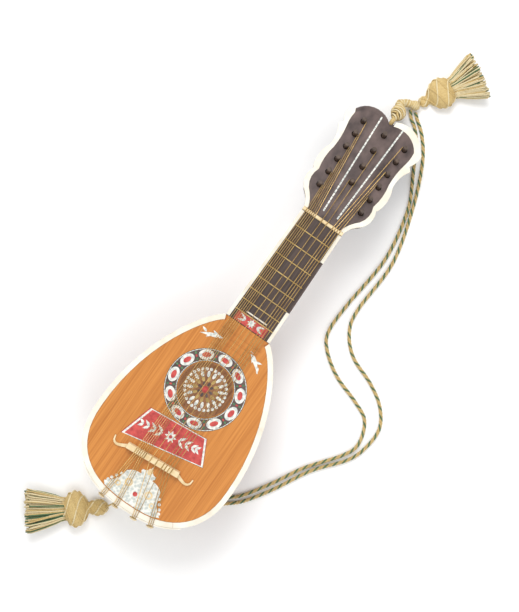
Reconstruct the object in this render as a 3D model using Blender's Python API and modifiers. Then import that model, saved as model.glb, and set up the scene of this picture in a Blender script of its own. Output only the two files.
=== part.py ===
"""A bowl-backed mandola lying on its back, with its pegs, strings, floating bridge and carrying cord.

Units are metres and +Z is up. The instrument frame has its origin on the fingerboard at the nut, +Y
towards the head and +X to the right as seen from the front. One empty sets that frame in the world,
so that the keel of the bowl and the two foremost peg knobs rest on the plane z = 0.
"""
import math

import bmesh
import bpy
from mathutils import Matrix, Vector

# Layout along the instrument, measured from the nut
scale_length = 0.406
nut_to_joint = 0.164
nut_to_widest = 0.345
nut_to_tail = 0.437
nut_to_rosette = 0.2568
nut_to_bridge = 0.366

# Clearances
seat_gap = 0.0003
bore_gap = 0.0004
floor_gap = 0.0004

# Body outline and bowl
body_width = 0.2044
joint_width = 0.0655
shoulder_power = 0.8
tail_power = 2.4
outline_steps = 15
bowl_depth = 0.092
heel_depth = 0.030
keel_flat_length = 0.040
rib_count = 15
ribs_per_node = 3
rib_thickness = 0.0020
tail_cap_thickness = 0.0015
tail_cap_steps = 7
tail_block_steps = 5
tail_block_depth = 0.018
neck_block_depth = 0.028

# Soundboard and its inlays
soundboard_thickness = 0.0025
body_binding_width = 0.0068
body_binding_thickness = 0.0014
binding_seam_step = 9
rosette_outer_radius = 0.0520
rosette_inner_radius = 0.0360
rosette_thickness = 0.0010
rose_radius = 0.0345
rose_field_radius = 0.0285
rose_sink = 0.0050
rose_floor = 0.0015
plate_thickness = 0.0010
plate_inset = 0.0016
plate_corners = ((-0.0444, -0.3126), (0.0382, -0.3046), (0.0555, -0.3401), (-0.0588, -0.3621))
plaque_top = -0.3725
plaque_centre_x = 0.0025
plaque_knob_half_width = 0.0098
plaque_knob_drop = 0.0100
plaque_waist_half_width = 0.0085
plaque_waist_drop = 0.0160
plaque_shoulder_half_width = 0.0255
plaque_shoulder_drop = 0.0225
plaque_base_half_width = 0.0420
brace_width = 0.0060
brace_height = 0.0100
brace_station = 0.3280
board_bar_count = 4
board_bar_pitch = 0.0083
board_bar_width = 0.0016
board_bar_height = 0.0009
board_bar_first_length = 0.0600
board_bar_shrink = 0.0045

# Neck, fingerboard and nut
nut_width = 0.0600
nut_length = 0.0044
nut_height = 0.0032
neck_depth_at_nut = 0.0170
fingerboard_thickness = 0.0030
fret_count = 8
fret_width = 0.0010
fret_height = 0.0009
edge_binding_width = 0.0045
lost_edge_start = 0.0440
lost_edge_end = 0.1190

# Bridge
bridge_length = 0.0740
bridge_base_width = 0.0092
bridge_top_width = 0.0070
bridge_height = 0.0075
bridge_turn = math.radians(4.2)
bridge_centre_x = -0.0035
scroll_height = 0.0018
scroll_start_width = 0.0050
scroll_end_width = 0.0016
scroll_path = ((0.0, 0.0), (0.0070, -0.0042), (0.0130, -0.0056), (0.0176, -0.0030), (0.0190, 0.0035))

# Head, in its own plane
head_tilt = math.radians(17.0)
head_drop = 0.0020
head_thickness = 0.0140
head_binding_thickness = 0.0036
head_lip = 0.0020
head_corners = (
    (0.0300, 0.0000, -0.0015, 3),
    (0.0400, 0.0170, 0.0062, 6),
    (0.0478, 0.0494, 0.0, 1),
    (0.0500, 0.0520, 0.0035, 6),
    (0.0485, 0.0875, -0.0030, 6),
    (0.0553, 0.1194, 0.0, 1),
    (0.0506, 0.1252, 0.0020, 4),
    (0.0562, 0.1464, -0.0008, 2),
    (0.0494, 0.1521, 0.0125, 9),
)
head_notch = 0.1612
head_inner_corners = (
    (0.0246, 0.0000, -0.0012, 3),
    (0.0345, 0.0190, 0.0055, 5),
    (0.0420, 0.0520, 0.0020, 4),
    (0.0426, 0.0880, -0.0012, 4),
    (0.0446, 0.1215, 0.0010, 3),
    (0.0458, 0.1440, 0.0105, 9),
)
head_inner_notch = 0.1550

# Pegs
peg_row_offset = 0.03175
peg_group_offset = 0.0016
peg_first_station = 0.1397
outer_peg_pitch = 0.0209
outer_peg_count = 6
middle_peg_pitch = 0.0260
middle_peg_count = 4
peg_post_radius = 0.0030
peg_shank_radius = 0.0037
peg_post_height = 0.0090
peg_knob_radius = 0.0095
peg_knob_thickness = 0.0060
peg_knob_bevel = 0.0010
peg_collar_radius = 0.0052

# Strings
string_radius = 0.00045
groove_radius = 0.0010
groove_depth = 0.0005
string_height_at_peg = 0.0045
left_strings = 6
left_nut_x = -0.0250
left_bridge_x = -0.0280
left_string_pitch = 0.00272
middle_nut_x = (-0.0013, 0.0061)
middle_bridge_x = (-0.0060, 0.0021)
right_strings = 4
right_nut_x = 0.0150
right_nut_pitch = 0.0034
right_bridge_x = 0.0110
right_bridge_pitch = 0.0042

# Hitch pins at the tail
pin_stations = (-0.0306, -0.0098, 0.0176, 0.0397)
pin_shank_radius = 0.0022
pin_head_radius = 0.0052
pin_head_thickness = 0.0026
pin_neck_length = 0.0034
pin_depth = 0.0075
pin_drop = 0.0120
pin_string_spread = math.radians(58.0)

# Carrying cord and tassels
cord_radius = 0.0025
cord_point_spacing = 0.0148
junction_radius = 0.0065
junction_place = (0.0125, 0.1970)
cord_inner_route = (
    (0.0108, 0.1891, 0.0058), (0.0180, 0.1810, 0.0029), (0.0283, 0.1739, 0.0029),
    (0.0406, 0.1596, 0.0029), (0.0612, 0.1237, 0.0029), (0.0830, 0.0795, 0.0029),
    (0.0952, 0.0109, 0.0029), (0.0887, -0.0650, 0.0029), (0.0883, -0.1070, 0.0029),
    (0.1002, -0.1284, 0.0029), (0.1298, -0.1494, 0.0029), (0.1693, -0.1635, 0.0029),
    (0.1933, -0.1764, 0.0029), (0.2040, -0.2048, 0.0029), (0.1965, -0.2285, 0.0029),
    (0.1640, -0.2715, 0.0029), (0.1415, -0.3115, 0.0029), (0.1185, -0.3470, 0.0029),
    (0.0985, -0.3655, 0.0029), (0.0760, -0.3860, 0.0029), (0.0520, -0.4100, 0.0029),
    (0.0290, -0.4300, 0.0040), (0.0195, -0.4395, 0.0160), (0.0176, -0.4413, 0.0400),
    (0.0176, -0.4413, 0.0728),
)
cord_outer_route = (
    (0.0182, 0.1899, 0.0058), (0.0270, 0.1830, 0.0029), (0.0424, 0.1704, 0.0029),
    (0.0627, 0.1429, 0.0029), (0.0862, 0.0878, 0.0029), (0.1060, 0.0125, 0.0029),
    (0.1036, -0.0607, 0.0029), (0.1102, -0.0917, 0.0029), (0.1338, -0.1169, 0.0029),
    (0.1713, -0.1323, 0.0029), (0.1981, -0.1493, 0.0029), (0.2149, -0.1734, 0.0029),
    (0.2148, -0.2032, 0.0029), (0.2045, -0.2310, 0.0029), (0.1730, -0.2705, 0.0029),
    (0.1465, -0.3185, 0.0029), (0.1235, -0.3530, 0.0029), (0.1035, -0.3715, 0.0029),
    (0.0830, -0.3920, 0.0029), (0.0640, -0.4110, 0.0040), (0.0480, -0.4320, 0.0160),
    (0.0422, -0.4374, 0.0400), (0.0417, -0.4382, 0.0728),
)
hanging_knot_path = (
    (0.0000, 0.1538, 0.0370, 0.0010), (0.0000, 0.1610, 0.0362, 0.0018),
    (0.0002, 0.1680, 0.0325, 0.0070), (0.0002, 0.1735, 0.0270, 0.0100),
    (-0.0010, 0.1785, 0.0215, 0.0088), (-0.0036, 0.1822, 0.0175, 0.0056),
    (-0.0044, 0.1868, 0.0135, 0.0062), (-0.0018, 0.1908, 0.0110, 0.0050),
    (0.0032, 0.1940, 0.0095, 0.0054), (0.0072, 0.1957, 0.0085, 0.0044),
    (0.0095, 0.1963, 0.0080, 0.0056), (0.0125, 0.1970, 0.0080, 0.0065),
    (0.0155, 0.1977, 0.0080, 0.0056), (0.0180, 0.1983, 0.0080, 0.0030),
)
top_tassel_turn = math.radians(59.5)
top_tassel_sections = (
    (0.0067, 0.0028), (0.0090, 0.0068), (0.0130, 0.0080), (0.0170, 0.0066), (0.0195, 0.0070),
    (0.0240, 0.0150), (0.0310, 0.0200), (0.0390, 0.0216), (0.0460, 0.0195), (0.0510, 0.0150),
    (0.0540, 0.0146), (0.0620, 0.0190), (0.0760, 0.0265), (0.0900, 0.0335), (0.0935, 0.0325),
)
tail_tassel_turn = math.radians(217.0)
tail_tassel_start = (-0.0165, -0.4593)
tail_tassel_sections = (
    (0.0000, 0.0030), (0.0025, 0.0075), (0.0075, 0.0108), (0.0130, 0.0116), (0.0185, 0.0104),
    (0.0235, 0.0082), (0.0260, 0.0090), (0.0300, 0.0180), (0.0360, 0.0235), (0.0420, 0.0248),
    (0.0490, 0.0220), (0.0540, 0.0162), (0.0570, 0.0152), (0.0660, 0.0195), (0.0820, 0.0250),
    (0.1020, 0.0310), (0.1060, 0.0300),
)
tassel_flatness = 0.55
tail_thread_radius = 0.0013
tail_thread_path = ((0.0, 0.0, 0.0), (0.0, 0.0, -0.0120), (-0.0012, -0.0030, -0.0300),
                    (-0.0034, -0.0090, -0.0500), (-0.0056, -0.0150, -0.0650))

# Values that follow from the dimensions above
body_half_width = body_width / 2
joint_half_width = joint_width / 2
widest_to_joint = nut_to_widest - nut_to_joint
widest_to_tail = nut_to_tail - nut_to_widest
rim_drop = soundboard_thickness + seat_gap
keel_sine = math.sin(math.pi / 2 - math.pi / rib_count / 2)
top_height = rim_drop + bowl_depth * keel_sine
nut_half_length = nut_length / 2
head_start = nut_half_length + 2 * seat_gap
pin_reach = seat_gap + tail_cap_thickness + pin_neck_length + pin_head_thickness
head_reach = head_start + 0.1693 * math.cos(head_tilt)
nut_y = (nut_to_tail + pin_reach - head_reach) / 2
bridge_top = seat_gap + bridge_height
knob_reach = peg_knob_radius * math.cos(head_tilt) + peg_knob_thickness / 2 * math.sin(head_tilt)
knob_depth = (top_height - head_drop - peg_first_station * math.sin(head_tilt) - knob_reach)
knob_depth = knob_depth / math.cos(head_tilt)

for old_object in list(bpy.data.objects):
    bpy.data.objects.remove(old_object, do_unlink=True)

parts = bpy.data.collections.new("mandola")
cutters = bpy.data.collections.new("mandola_cutters")
bpy.context.scene.collection.children.link(parts)
bpy.context.scene.collection.children.link(cutters)


def make_material(name, colour, roughness, metallic=0.0):
    """Return a Principled material of one colour."""
    material = bpy.data.materials.new(name)
    material.use_nodes = True
    shader = material.node_tree.nodes["Principled BSDF"]
    shader.inputs["Base Color"].default_value = (*colour, 1.0)
    shader.inputs["Roughness"].default_value = roughness
    shader.inputs["Metallic"].default_value = metallic
    return material


spruce = make_material("spruce", (0.68, 0.32, 0.08), 0.35)
ivory = make_material("ivory", (0.83, 0.79, 0.70), 0.35)
bone = make_material("bone", (0.78, 0.66, 0.42), 0.40)
pearl = make_material("pearl", (0.75, 0.75, 0.70), 0.25)
mastic = make_material("mastic", (0.55, 0.10, 0.10), 0.40)
ebony = make_material("ebony", (0.06, 0.04, 0.035), 0.40)
veneer = make_material("head_veneer", (0.10, 0.07, 0.065), 0.40)
walnut = make_material("walnut", (0.30, 0.14, 0.06), 0.40)
peg_wood = make_material("peg_wood", (0.07, 0.045, 0.03), 0.40)
gut = make_material("string", (0.50, 0.34, 0.12), 0.30)
cord_gold = make_material("cord_gold", (0.52, 0.38, 0.16), 0.80)


def add_empty(name, parent=None, location=(0, 0, 0), rotation=(0, 0, 0)):
    """Return an empty that carries part of the assembly."""
    empty = bpy.data.objects.new(name, None)
    empty.empty_display_size = 0.02
    empty.parent = parent
    empty.location = location
    empty.rotation_euler = rotation
    parts.objects.link(empty)
    return empty


instrument = add_empty("instrument", location=(0, nut_y, top_height))
head_frame = add_empty("head_frame", instrument, (0, head_start, -head_drop), (-head_tilt, 0, 0))


def place(thing, parent, location=(0, 0, 0), rotation=(0, 0, 0)):
    """Set an object under its carrier."""
    thing.parent = parent
    thing.location = location
    thing.rotation_euler = rotation
    return thing


def add_mesh(name, mesh, material, parent=instrument, collection=parts, location=(0, 0, 0),
             rotation=(0, 0, 0)):
    """Return an object that holds a mesh, in the wanted collection."""
    thing = bpy.data.objects.new(name, mesh)
    if material:
        mesh.materials.clear()
        mesh.materials.append(material)
    collection.objects.link(thing)
    if collection is cutters:
        thing.hide_render = True
        thing.display_type = "WIRE"
    return place(thing, parent, location, rotation)


def mesh_from(bm, name):
    """Turn a bmesh into a mesh whose faces point out."""
    bmesh.ops.recalc_face_normals(bm, faces=bm.faces)
    mesh = bpy.data.meshes.new(name)
    bm.to_mesh(mesh)
    bm.free()
    return mesh


def baked(thing, weld=0.00001):
    """Return the evaluated, welded mesh of an object and remove the object."""
    graph = bpy.context.evaluated_depsgraph_get()
    mesh = bpy.data.meshes.new_from_object(thing.evaluated_get(graph), depsgraph=graph)
    bm = bmesh.new()
    bm.from_mesh(mesh)
    bmesh.ops.remove_doubles(bm, verts=bm.verts, dist=weld)
    bmesh.ops.recalc_face_normals(bm, faces=bm.faces)
    bm.to_mesh(mesh)
    bm.free()
    bpy.data.objects.remove(thing, do_unlink=True)
    return mesh


def plate_mesh(name, loops, low, high):
    """Return a flat plate: filled outlines, holes included, from height low to height high."""
    curve = bpy.data.curves.new(name, "CURVE")
    curve.dimensions = "2D"
    curve.fill_mode = "BOTH"
    curve.extrude = (high - low) / 2
    for loop in loops:
        spline = curve.splines.new("POLY")
        spline.points.add(len(loop) - 1)
        for point, (x, y) in zip(spline.points, loop):
            point.co = (x, y, 0, 1)
        spline.use_cyclic_u = True
    outline = bpy.data.objects.new(name, curve)
    cutters.objects.link(outline)
    bpy.context.view_layer.update()
    mesh = baked(outline)
    mesh.transform(Matrix.Translation((0, 0, (low + high) / 2)))
    return mesh


def ring_loft(name, rings):
    """Return a closed body through rings of the same number of points, with flat ends."""
    bm = bmesh.new()
    rows = [[bm.verts.new(point) for point in ring] for ring in rings]
    count = len(rings[0])
    for row, following in zip(rows, rows[1:]):
        for i in range(count):
            j = (i + 1) % count
            bm.faces.new((row[i], row[j], following[j], following[i]))
    bm.faces.new(rows[0])
    bm.faces.new(rows[-1])
    return mesh_from(bm, name)


def turned_mesh(name, profile, steps):
    """Return a turned body. The profile runs from the axis out and down its outer side."""
    curve = bpy.data.meshes.new(name)
    curve.from_pydata([(radius, 0, z) for radius, z in profile],
                      [(i, i + 1) for i in range(len(profile) - 1)], [])
    blank = bpy.data.objects.new(name, curve)
    cutters.objects.link(blank)
    screw = blank.modifiers.new("turn", "SCREW")
    screw.steps = steps
    screw.render_steps = steps
    screw.use_merge_vertices = True
    screw.merge_threshold = 0.00001
    bpy.context.view_layer.update()
    return baked(blank)


def tube_rings(points, radii, sides, flatness=1.0):
    """Return rings square to a path, each with its own radius, flattened in height."""
    rings = []
    for i, (point, radius) in enumerate(zip(points, radii)):
        before = Vector(points[max(i - 1, 0)])
        after = Vector(points[min(i + 1, len(points) - 1)])
        along = (after - before).normalized()
        side = along.cross(Vector((0, 0, 1)))
        if side.length < 0.2:
            side = Vector((1, 0, 0)).cross(along).cross(along) * -1
        side.normalize()
        up = side.cross(along).normalized()
        ring = []
        for k in range(sides):
            angle = 2 * math.pi * k / sides
            offset = side * math.cos(angle) * radius + up * math.sin(angle) * radius * flatness
            ring.append(Vector(point) + offset)
        rings.append(ring)
    return rings


def cut(thing, tool, operation="DIFFERENCE"):
    """Add a Boolean of a cutter to an object."""
    modifier = thing.modifiers.new(tool.name, "BOOLEAN")
    modifier.operation = operation
    modifier.solver = "EXACT"
    modifier.object = tool


def box_mesh(name, low, high):
    """Return a box between two corners."""
    bm = bmesh.new()
    bmesh.ops.create_cube(bm, size=1.0)
    size = Vector(high) - Vector(low)
    middle = (Vector(high) + Vector(low)) / 2
    bmesh.ops.scale(bm, vec=size, verts=bm.verts)
    bmesh.ops.translate(bm, vec=middle, verts=bm.verts)
    return mesh_from(bm, name)


def joined_mesh(name, meshes):
    """Return one mesh that holds several separate bodies, for use as a single cutter."""
    bm = bmesh.new()
    for mesh in meshes:
        bm.from_mesh(mesh)
    mesh = bpy.data.meshes.new(name)
    bm.to_mesh(mesh)
    bm.free()
    return mesh


def cylinder_mesh(name, radius, low, high, sides, transform=Matrix.Identity(4)):
    """Return a cylinder along Z between two heights, moved by a transform."""
    bm = bmesh.new()
    bmesh.ops.create_cone(bm, cap_ends=True, segments=sides, radius1=radius, radius2=radius,
                          depth=high - low)
    bmesh.ops.translate(bm, vec=(0, 0, (high + low) / 2), verts=bm.verts)
    bmesh.ops.transform(bm, matrix=transform, verts=bm.verts)
    return mesh_from(bm, name)


def circle(radius, sides, x=0.0, y=0.0):
    """Return the points of a circle."""
    return [(x + radius * math.cos(2 * math.pi * i / sides), y + radius * math.sin(2 * math.pi * i / sides))
            for i in range(sides)]


def arc(start, end, bulge, steps):
    """Return points from start up to, but not including, end. A positive bulge lies to the right."""
    span = Vector(end) - Vector(start)
    if abs(bulge) < 1e-6:
        return [tuple(start)]
    forward = span.normalized()
    right = Vector((forward.y, -forward.x))
    half_angle = 2 * math.atan(2 * bulge / span.length)
    radius = span.length / 2 / math.sin(half_angle)
    points = []
    for i in range(steps):
        angle = half_angle * (2 * i / steps - 1)
        along = radius * math.sin(angle) + span.length / 2
        out = radius * (math.cos(angle) - math.cos(half_angle))
        points.append(tuple(Vector(start) + forward * along + right * out))
    return points


def beside(path, distance):
    """Return an open path moved to its left by a distance, with mitred corners."""
    moved = []
    for i, point in enumerate(path):
        before = Vector(point) - Vector(path[i - 1]) if i else Vector(path[1]) - Vector(path[0])
        after = Vector(path[i + 1]) - Vector(point) if i < len(path) - 1 else before
        left_before = Vector((-before.y, before.x)).normalized()
        left_after = Vector((-after.y, after.x)).normalized()
        middle = (left_before + left_after).normalized()
        moved.append(tuple(Vector(point) + middle * distance / middle.dot(left_before)))
    return moved


def lengthened(path, distance):
    """Return an open path with both of its ends drawn out straight."""
    first = Vector(path[0]) + (Vector(path[0]) - Vector(path[1])).normalized() * distance
    last = Vector(path[-1]) + (Vector(path[-1]) - Vector(path[-2])).normalized() * distance
    return [tuple(first)] + path[1:-1] + [tuple(last)]


def mirrored(path):
    """Return a path on the other side of the centre line, run the other way."""
    return [(-x, y) for x, y in reversed(path)]


def smooth_route(points, spacing):
    """Return evenly spaced points along a smooth curve through the route's own points."""
    route = [Vector(point) for point in points]
    route = [2 * route[0] - route[1]] + route + [2 * route[-1] - route[-2]]
    fine = []
    for a, b, c, d in zip(route, route[1:], route[2:], route[3:]):
        for i in range(24):
            t = i / 24
            fine.append(0.5 * (2 * b + (c - a) * t + (2 * a - 5 * b + 4 * c - d) * t ** 2
                               + (3 * b - a - 3 * c + d) * t ** 3))
    fine.append(route[-2])
    lengths = [0.0]
    for a, b in zip(fine, fine[1:]):
        lengths.append(lengths[-1] + (b - a).length)
    count = max(2, round(lengths[-1] / spacing))
    even = []
    k = 0
    for i in range(count + 1):
        target = lengths[-1] * i / count
        while k < len(fine) - 2 and lengths[k + 1] < target:
            k += 1
        share = (target - lengths[k]) / max(lengths[k + 1] - lengths[k], 1e-9)
        even.append(fine[k].lerp(fine[k + 1], min(share, 1.0)))
    return even


def add_tube(name, points, radius, material, parent=instrument, resolution=2):
    """Return a round cord or string: a bevelled curve through its points."""
    curve = bpy.data.curves.new(name, "CURVE")
    curve.dimensions = "3D"
    curve.bevel_depth = radius
    curve.bevel_resolution = resolution
    curve.use_fill_caps = True
    spline = curve.splines.new("POLY")
    spline.points.add(len(points) - 1)
    for control, point in zip(spline.points, points):
        control.co = (*point, 1)
    curve.materials.append(material)
    thing = bpy.data.objects.new(name, curve)
    parts.objects.link(thing)
    return place(thing, parent)


def tail_share(distance, length):
    """Return the width share left at a distance past the widest line, towards the tail."""
    return max(0.0, 1 - (distance / length) ** tail_power) ** (1 / tail_power)


def shoulder_share(distance, length):
    """Return the share of the shoulder's growth reached at a distance before the widest line."""
    return max(0.0, 1 - (distance / length) ** 2) ** shoulder_power


def half_width_at(y, grow=0.0):
    """Return the body's half width at a station, on an outline grown outwards."""
    if y > -nut_to_widest:
        share = shoulder_share(y + nut_to_widest, widest_to_joint)
        return joint_half_width + (body_half_width - joint_half_width) * share + grow
    return (body_half_width + grow) * tail_share(-nut_to_widest - y, widest_to_tail + grow)


def depth_at(y, grow=0.0):
    """Return the bowl's depth under its rim at a station, flat along the keel's middle."""
    past = abs(y + nut_to_widest) - keel_flat_length / 2
    if past <= 0:
        return bowl_depth + grow
    if y > -nut_to_widest:
        share = shoulder_share(past, widest_to_joint - keel_flat_length / 2)
        return heel_depth + (bowl_depth - heel_depth) * share + grow
    return (bowl_depth + grow) * tail_share(past, widest_to_tail - keel_flat_length / 2 + grow)


def shoulder_stations():
    """Return the stations from the neck joint to the widest line."""
    angles = [math.pi / 2 * i / outline_steps for i in range(outline_steps)]
    return [-nut_to_widest + widest_to_joint * math.cos(angle) for angle in angles]


def tail_stations():
    """Return the stations from the widest line to just before the tail's end."""
    angles = [math.pi / 2 * i / outline_steps for i in range(outline_steps)]
    return [-nut_to_widest - widest_to_tail * math.sin(angle) ** (2 / tail_power) for angle in angles]


def body_side():
    """Return the right side of the body outline, from the joint to the tail's middle."""
    side = [(half_width_at(y), y) for y in shoulder_stations() + tail_stations()]
    return side + [(0.0, -nut_to_tail)]


def tail_point(x):
    """Return the tail outline's point at x and its outward direction."""
    share = (abs(x) / body_half_width) ** tail_power
    y = -nut_to_widest - widest_to_tail * (1 - share) ** (1 / tail_power)
    slope_x = (abs(x) / body_half_width) ** (tail_power - 1) / body_half_width
    slope_y = ((-nut_to_widest - y) / widest_to_tail) ** (tail_power - 1) / widest_to_tail
    outward = Vector((math.copysign(slope_x, x), -slope_y, 0)).normalized()
    return Vector((x, y, 0)), outward


def bowl_arc(y, grow, first, last, inset=0.0):
    """Return one cross-section's points between two rib joints, each end drawn in by an inset."""
    width = half_width_at(y, grow)
    depth = depth_at(y, grow)
    points = []
    for k in range(first, last + 1):
        angle = math.pi * k / rib_count
        rate = math.hypot(width * math.sin(angle), depth * math.cos(angle))
        if k == first and first > 0:
            angle += inset / rate
        if k == last and last < rib_count:
            angle -= inset / rate
        points.append(Vector((-width * math.cos(angle), y, -rim_drop - depth * math.sin(angle))))
    return points


def build_ribs():
    """Make the bowl's ribs, glued in groups that run from the neck joint to the tail block."""
    block_edge = tail_stations()[-tail_block_steps]
    stations = [-nut_to_joint - seat_gap] + shoulder_stations()[1:]
    stations += [-nut_to_widest + keel_flat_length / 2, -nut_to_widest - keel_flat_length / 2]
    stations += [y for y in tail_stations() if y > block_edge + seat_gap] + [block_edge + seat_gap]
    stations = sorted(set(round(y, 6) for y in stations), reverse=True)
    names = ("left_outer", "left", "centre", "right", "right_outer")
    for group, name in enumerate(names):
        first = group * ribs_per_node
        last = first + ribs_per_node
        rings = []
        for y in stations:
            outer = bowl_arc(y, 0.0, first, last, seat_gap / 2)
            inner = bowl_arc(y, -rib_thickness, first, last, seat_gap / 2)
            rings.append(outer + inner[::-1])
        add_mesh("ribs_" + name, ring_loft("ribs_" + name, rings), walnut)


def build_tail_block(pin_bores):
    """Make the block inside the tail that the ribs, the cap and the hitch pins hold on to."""
    stations = tail_stations()
    shoulder = stations[-tail_block_steps]
    inside = -rib_thickness - seat_gap
    front = -nut_to_tail + tail_block_depth
    rings = [bowl_arc(front, inside, 0, rib_count),
             bowl_arc(shoulder + seat_gap * 0.7, inside, 0, rib_count)]
    rings += [bowl_arc(y, 0.0, 0, rib_count) for y in stations[-tail_block_steps:]]
    block = add_mesh("tail_block", ring_loft("tail_block", rings), walnut)
    cut(block, pin_bores)


def build_tail_cap(pin_bores):
    """Make the ivory cap that covers the ribs' ends round the tail."""
    grow = seat_gap
    edge_top = -seat_gap
    bm = bmesh.new()
    rows = []
    for y in tail_stations()[-tail_cap_steps:]:
        points = bowl_arc(y, grow, 0, rib_count)
        lip_left = Vector((points[0].x, y, edge_top))
        lip_right = Vector((points[-1].x, y, edge_top))
        rows.append([bm.verts.new(point) for point in [lip_left] + points + [lip_right]])
    for row, following in zip(rows, rows[1:]):
        for i in range(len(row) - 1):
            bm.faces.new((row[i], row[i + 1], following[i + 1], following[i]))
    lip = bm.verts.new((0, -nut_to_tail - grow, edge_top))
    pole = bm.verts.new((0, -nut_to_tail - grow, -rim_drop))
    last = rows[-1]
    bm.faces.new((last[0], last[1], pole, lip))
    bm.faces.new((lip, pole, last[-2], last[-1]))
    for i in range(1, len(last) - 2):
        bm.faces.new((last[i], last[i + 1], pole))
    cap = add_mesh("tail_cap", mesh_from(bm, "tail_cap"), ivory)
    wall = cap.modifiers.new("wall", "SOLIDIFY")
    wall.thickness = tail_cap_thickness
    wall.offset = 1.0
    wall.use_even_offset = True
    cut(cap, pin_bores)


def build_neck_block():
    """Make the block inside the bowl that the neck is fastened to."""
    inside = -rib_thickness - seat_gap
    stations = [y for y in shoulder_stations()[1:] if y > -nut_to_joint - neck_block_depth]
    stations = [-nut_to_joint - seat_gap] + stations + [-nut_to_joint - neck_block_depth]
    rings = [bowl_arc(y, inside, 0, rib_count) for y in stations]
    add_mesh("neck_block", ring_loft("neck_block", rings), walnut)


def bridge_transform():
    """Return the bridge's place on the soundboard."""
    return Matrix.Translation((bridge_centre_x, -nut_to_bridge, 0)) @ Matrix.Rotation(bridge_turn, 4, "Z")


def build_soundboard():
    """Make the soundboard with its raised bars, and the recesses for everything inlaid in it."""
    side = body_side()
    side[0] = (side[0][0], -nut_to_joint - seat_gap)
    outline = side + mirrored(side)[1:]
    board = add_mesh("soundboard", plate_mesh("soundboard", [outline], -soundboard_thickness, 0), spruce)

    rim = lengthened(beside(outline, -body_binding_width - seat_gap), 0.002)
    outside = lengthened(beside(outline, 0.004), 0.002)
    rebate_low = -body_binding_thickness - seat_gap
    band = outside + rim[::-1]
    cut(board, add_mesh("binding_rebate", plate_mesh("rebate", [band], rebate_low, 0.002), None,
                        collection=cutters))

    centre = (0.0, -nut_to_rosette)
    recess = [circle(rosette_outer_radius + seat_gap, 48, *centre),
              circle(rosette_inner_radius - seat_gap, 48, *centre)]
    low = -rosette_thickness - seat_gap
    cut(board, add_mesh("rosette_recess", plate_mesh("recess", recess, low, 0.001), None,
                        collection=cutters))
    hole = circle(rose_radius + seat_gap, 48, *centre)
    cut(board, add_mesh("rose_hole", plate_mesh("hole", [hole], -0.01, 0.001), None,
                        collection=cutters))

    low = -plate_thickness - seat_gap
    pockets = [plate_mesh("pocket", [plate_outline(seat_gap)], low, 0.001),
               plate_mesh("pocket", [plaque_outline(seat_gap)], low, 0.001)]
    cut(board, add_mesh("inlay_pockets", joined_mesh("pockets", pockets), None, collection=cutters))

    bars = []
    for i in range(board_bar_count):
        y = -fret_station(10) - i * board_bar_pitch
        half = (board_bar_first_length - i * board_bar_shrink) / 2
        bars.append(box_mesh("bar", (-half, y - board_bar_width / 2, -0.001),
                             (half, y + board_bar_width / 2, board_bar_height)))
    cut(board, add_mesh("fret_bars", joined_mesh("bars", bars), None, collection=cutters), "UNION")


def fret_station(number):
    """Return a fret's distance from the nut."""
    return scale_length * (1 - 2 ** (-number / 12))


def plate_outline(grow=0.0):
    """Return the scratch plate's outline, a trapezoid set in by its dark border."""
    corners = [Vector(corner) for corner in plate_corners]
    shape = []
    for i, corner in enumerate(corners):
        before = (corner - corners[i - 1]).normalized()
        after = (corners[(i + 1) % 4] - corner).normalized()
        normal_before = Vector((before.y, -before.x))
        normal_after = Vector((after.y, -after.x))
        middle = (normal_before + normal_after).normalized()
        shape.append(tuple(corner + middle * (plate_inset - grow) / middle.dot(normal_before)))
    return shape


def plaque_outline(grow=0.0):
    """Return the tail plaque's outline: a knob on a bell that ends along the binding."""
    x0 = plaque_centre_x
    knob_y = plaque_top - plaque_knob_drop
    waist_y = plaque_top - plaque_waist_drop
    shoulder_y = plaque_top - plaque_shoulder_drop
    base_line = beside(body_side(), -body_binding_width - 3 * seat_gap - 0.0004)
    base_right = x0 + plaque_base_half_width
    base_left = x0 - plaque_base_half_width
    full_base = base_line + mirrored(base_line)[1:]
    base = [point for point in full_base if base_left <= point[0] <= base_right and point[1] < shoulder_y]
    right = arc((x0, plaque_top + grow), (x0 + plaque_knob_half_width + grow, knob_y), 0.003, 4)
    right += [(x0 + plaque_knob_half_width + grow, knob_y), (x0 + plaque_waist_half_width + grow, waist_y)]
    right += arc((x0 + plaque_waist_half_width + grow, waist_y),
                 (x0 + plaque_shoulder_half_width + grow, shoulder_y), -0.002, 4)[1:]
    right += arc((x0 + plaque_shoulder_half_width + grow, shoulder_y),
                 (base_right + grow, base[0][1] + 0.004), 0.004, 5)
    left = [(2 * x0 - x, y) for x, y in reversed(right)][:-1]
    ends = [(base_right + grow, base[0][1] + 0.004)]
    left_end = [(base_left - grow, base[-1][1] + 0.004)]
    pushed = [(x, y - grow * 0.5) for x, y in base]
    return right + ends + pushed + left_end + left


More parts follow.
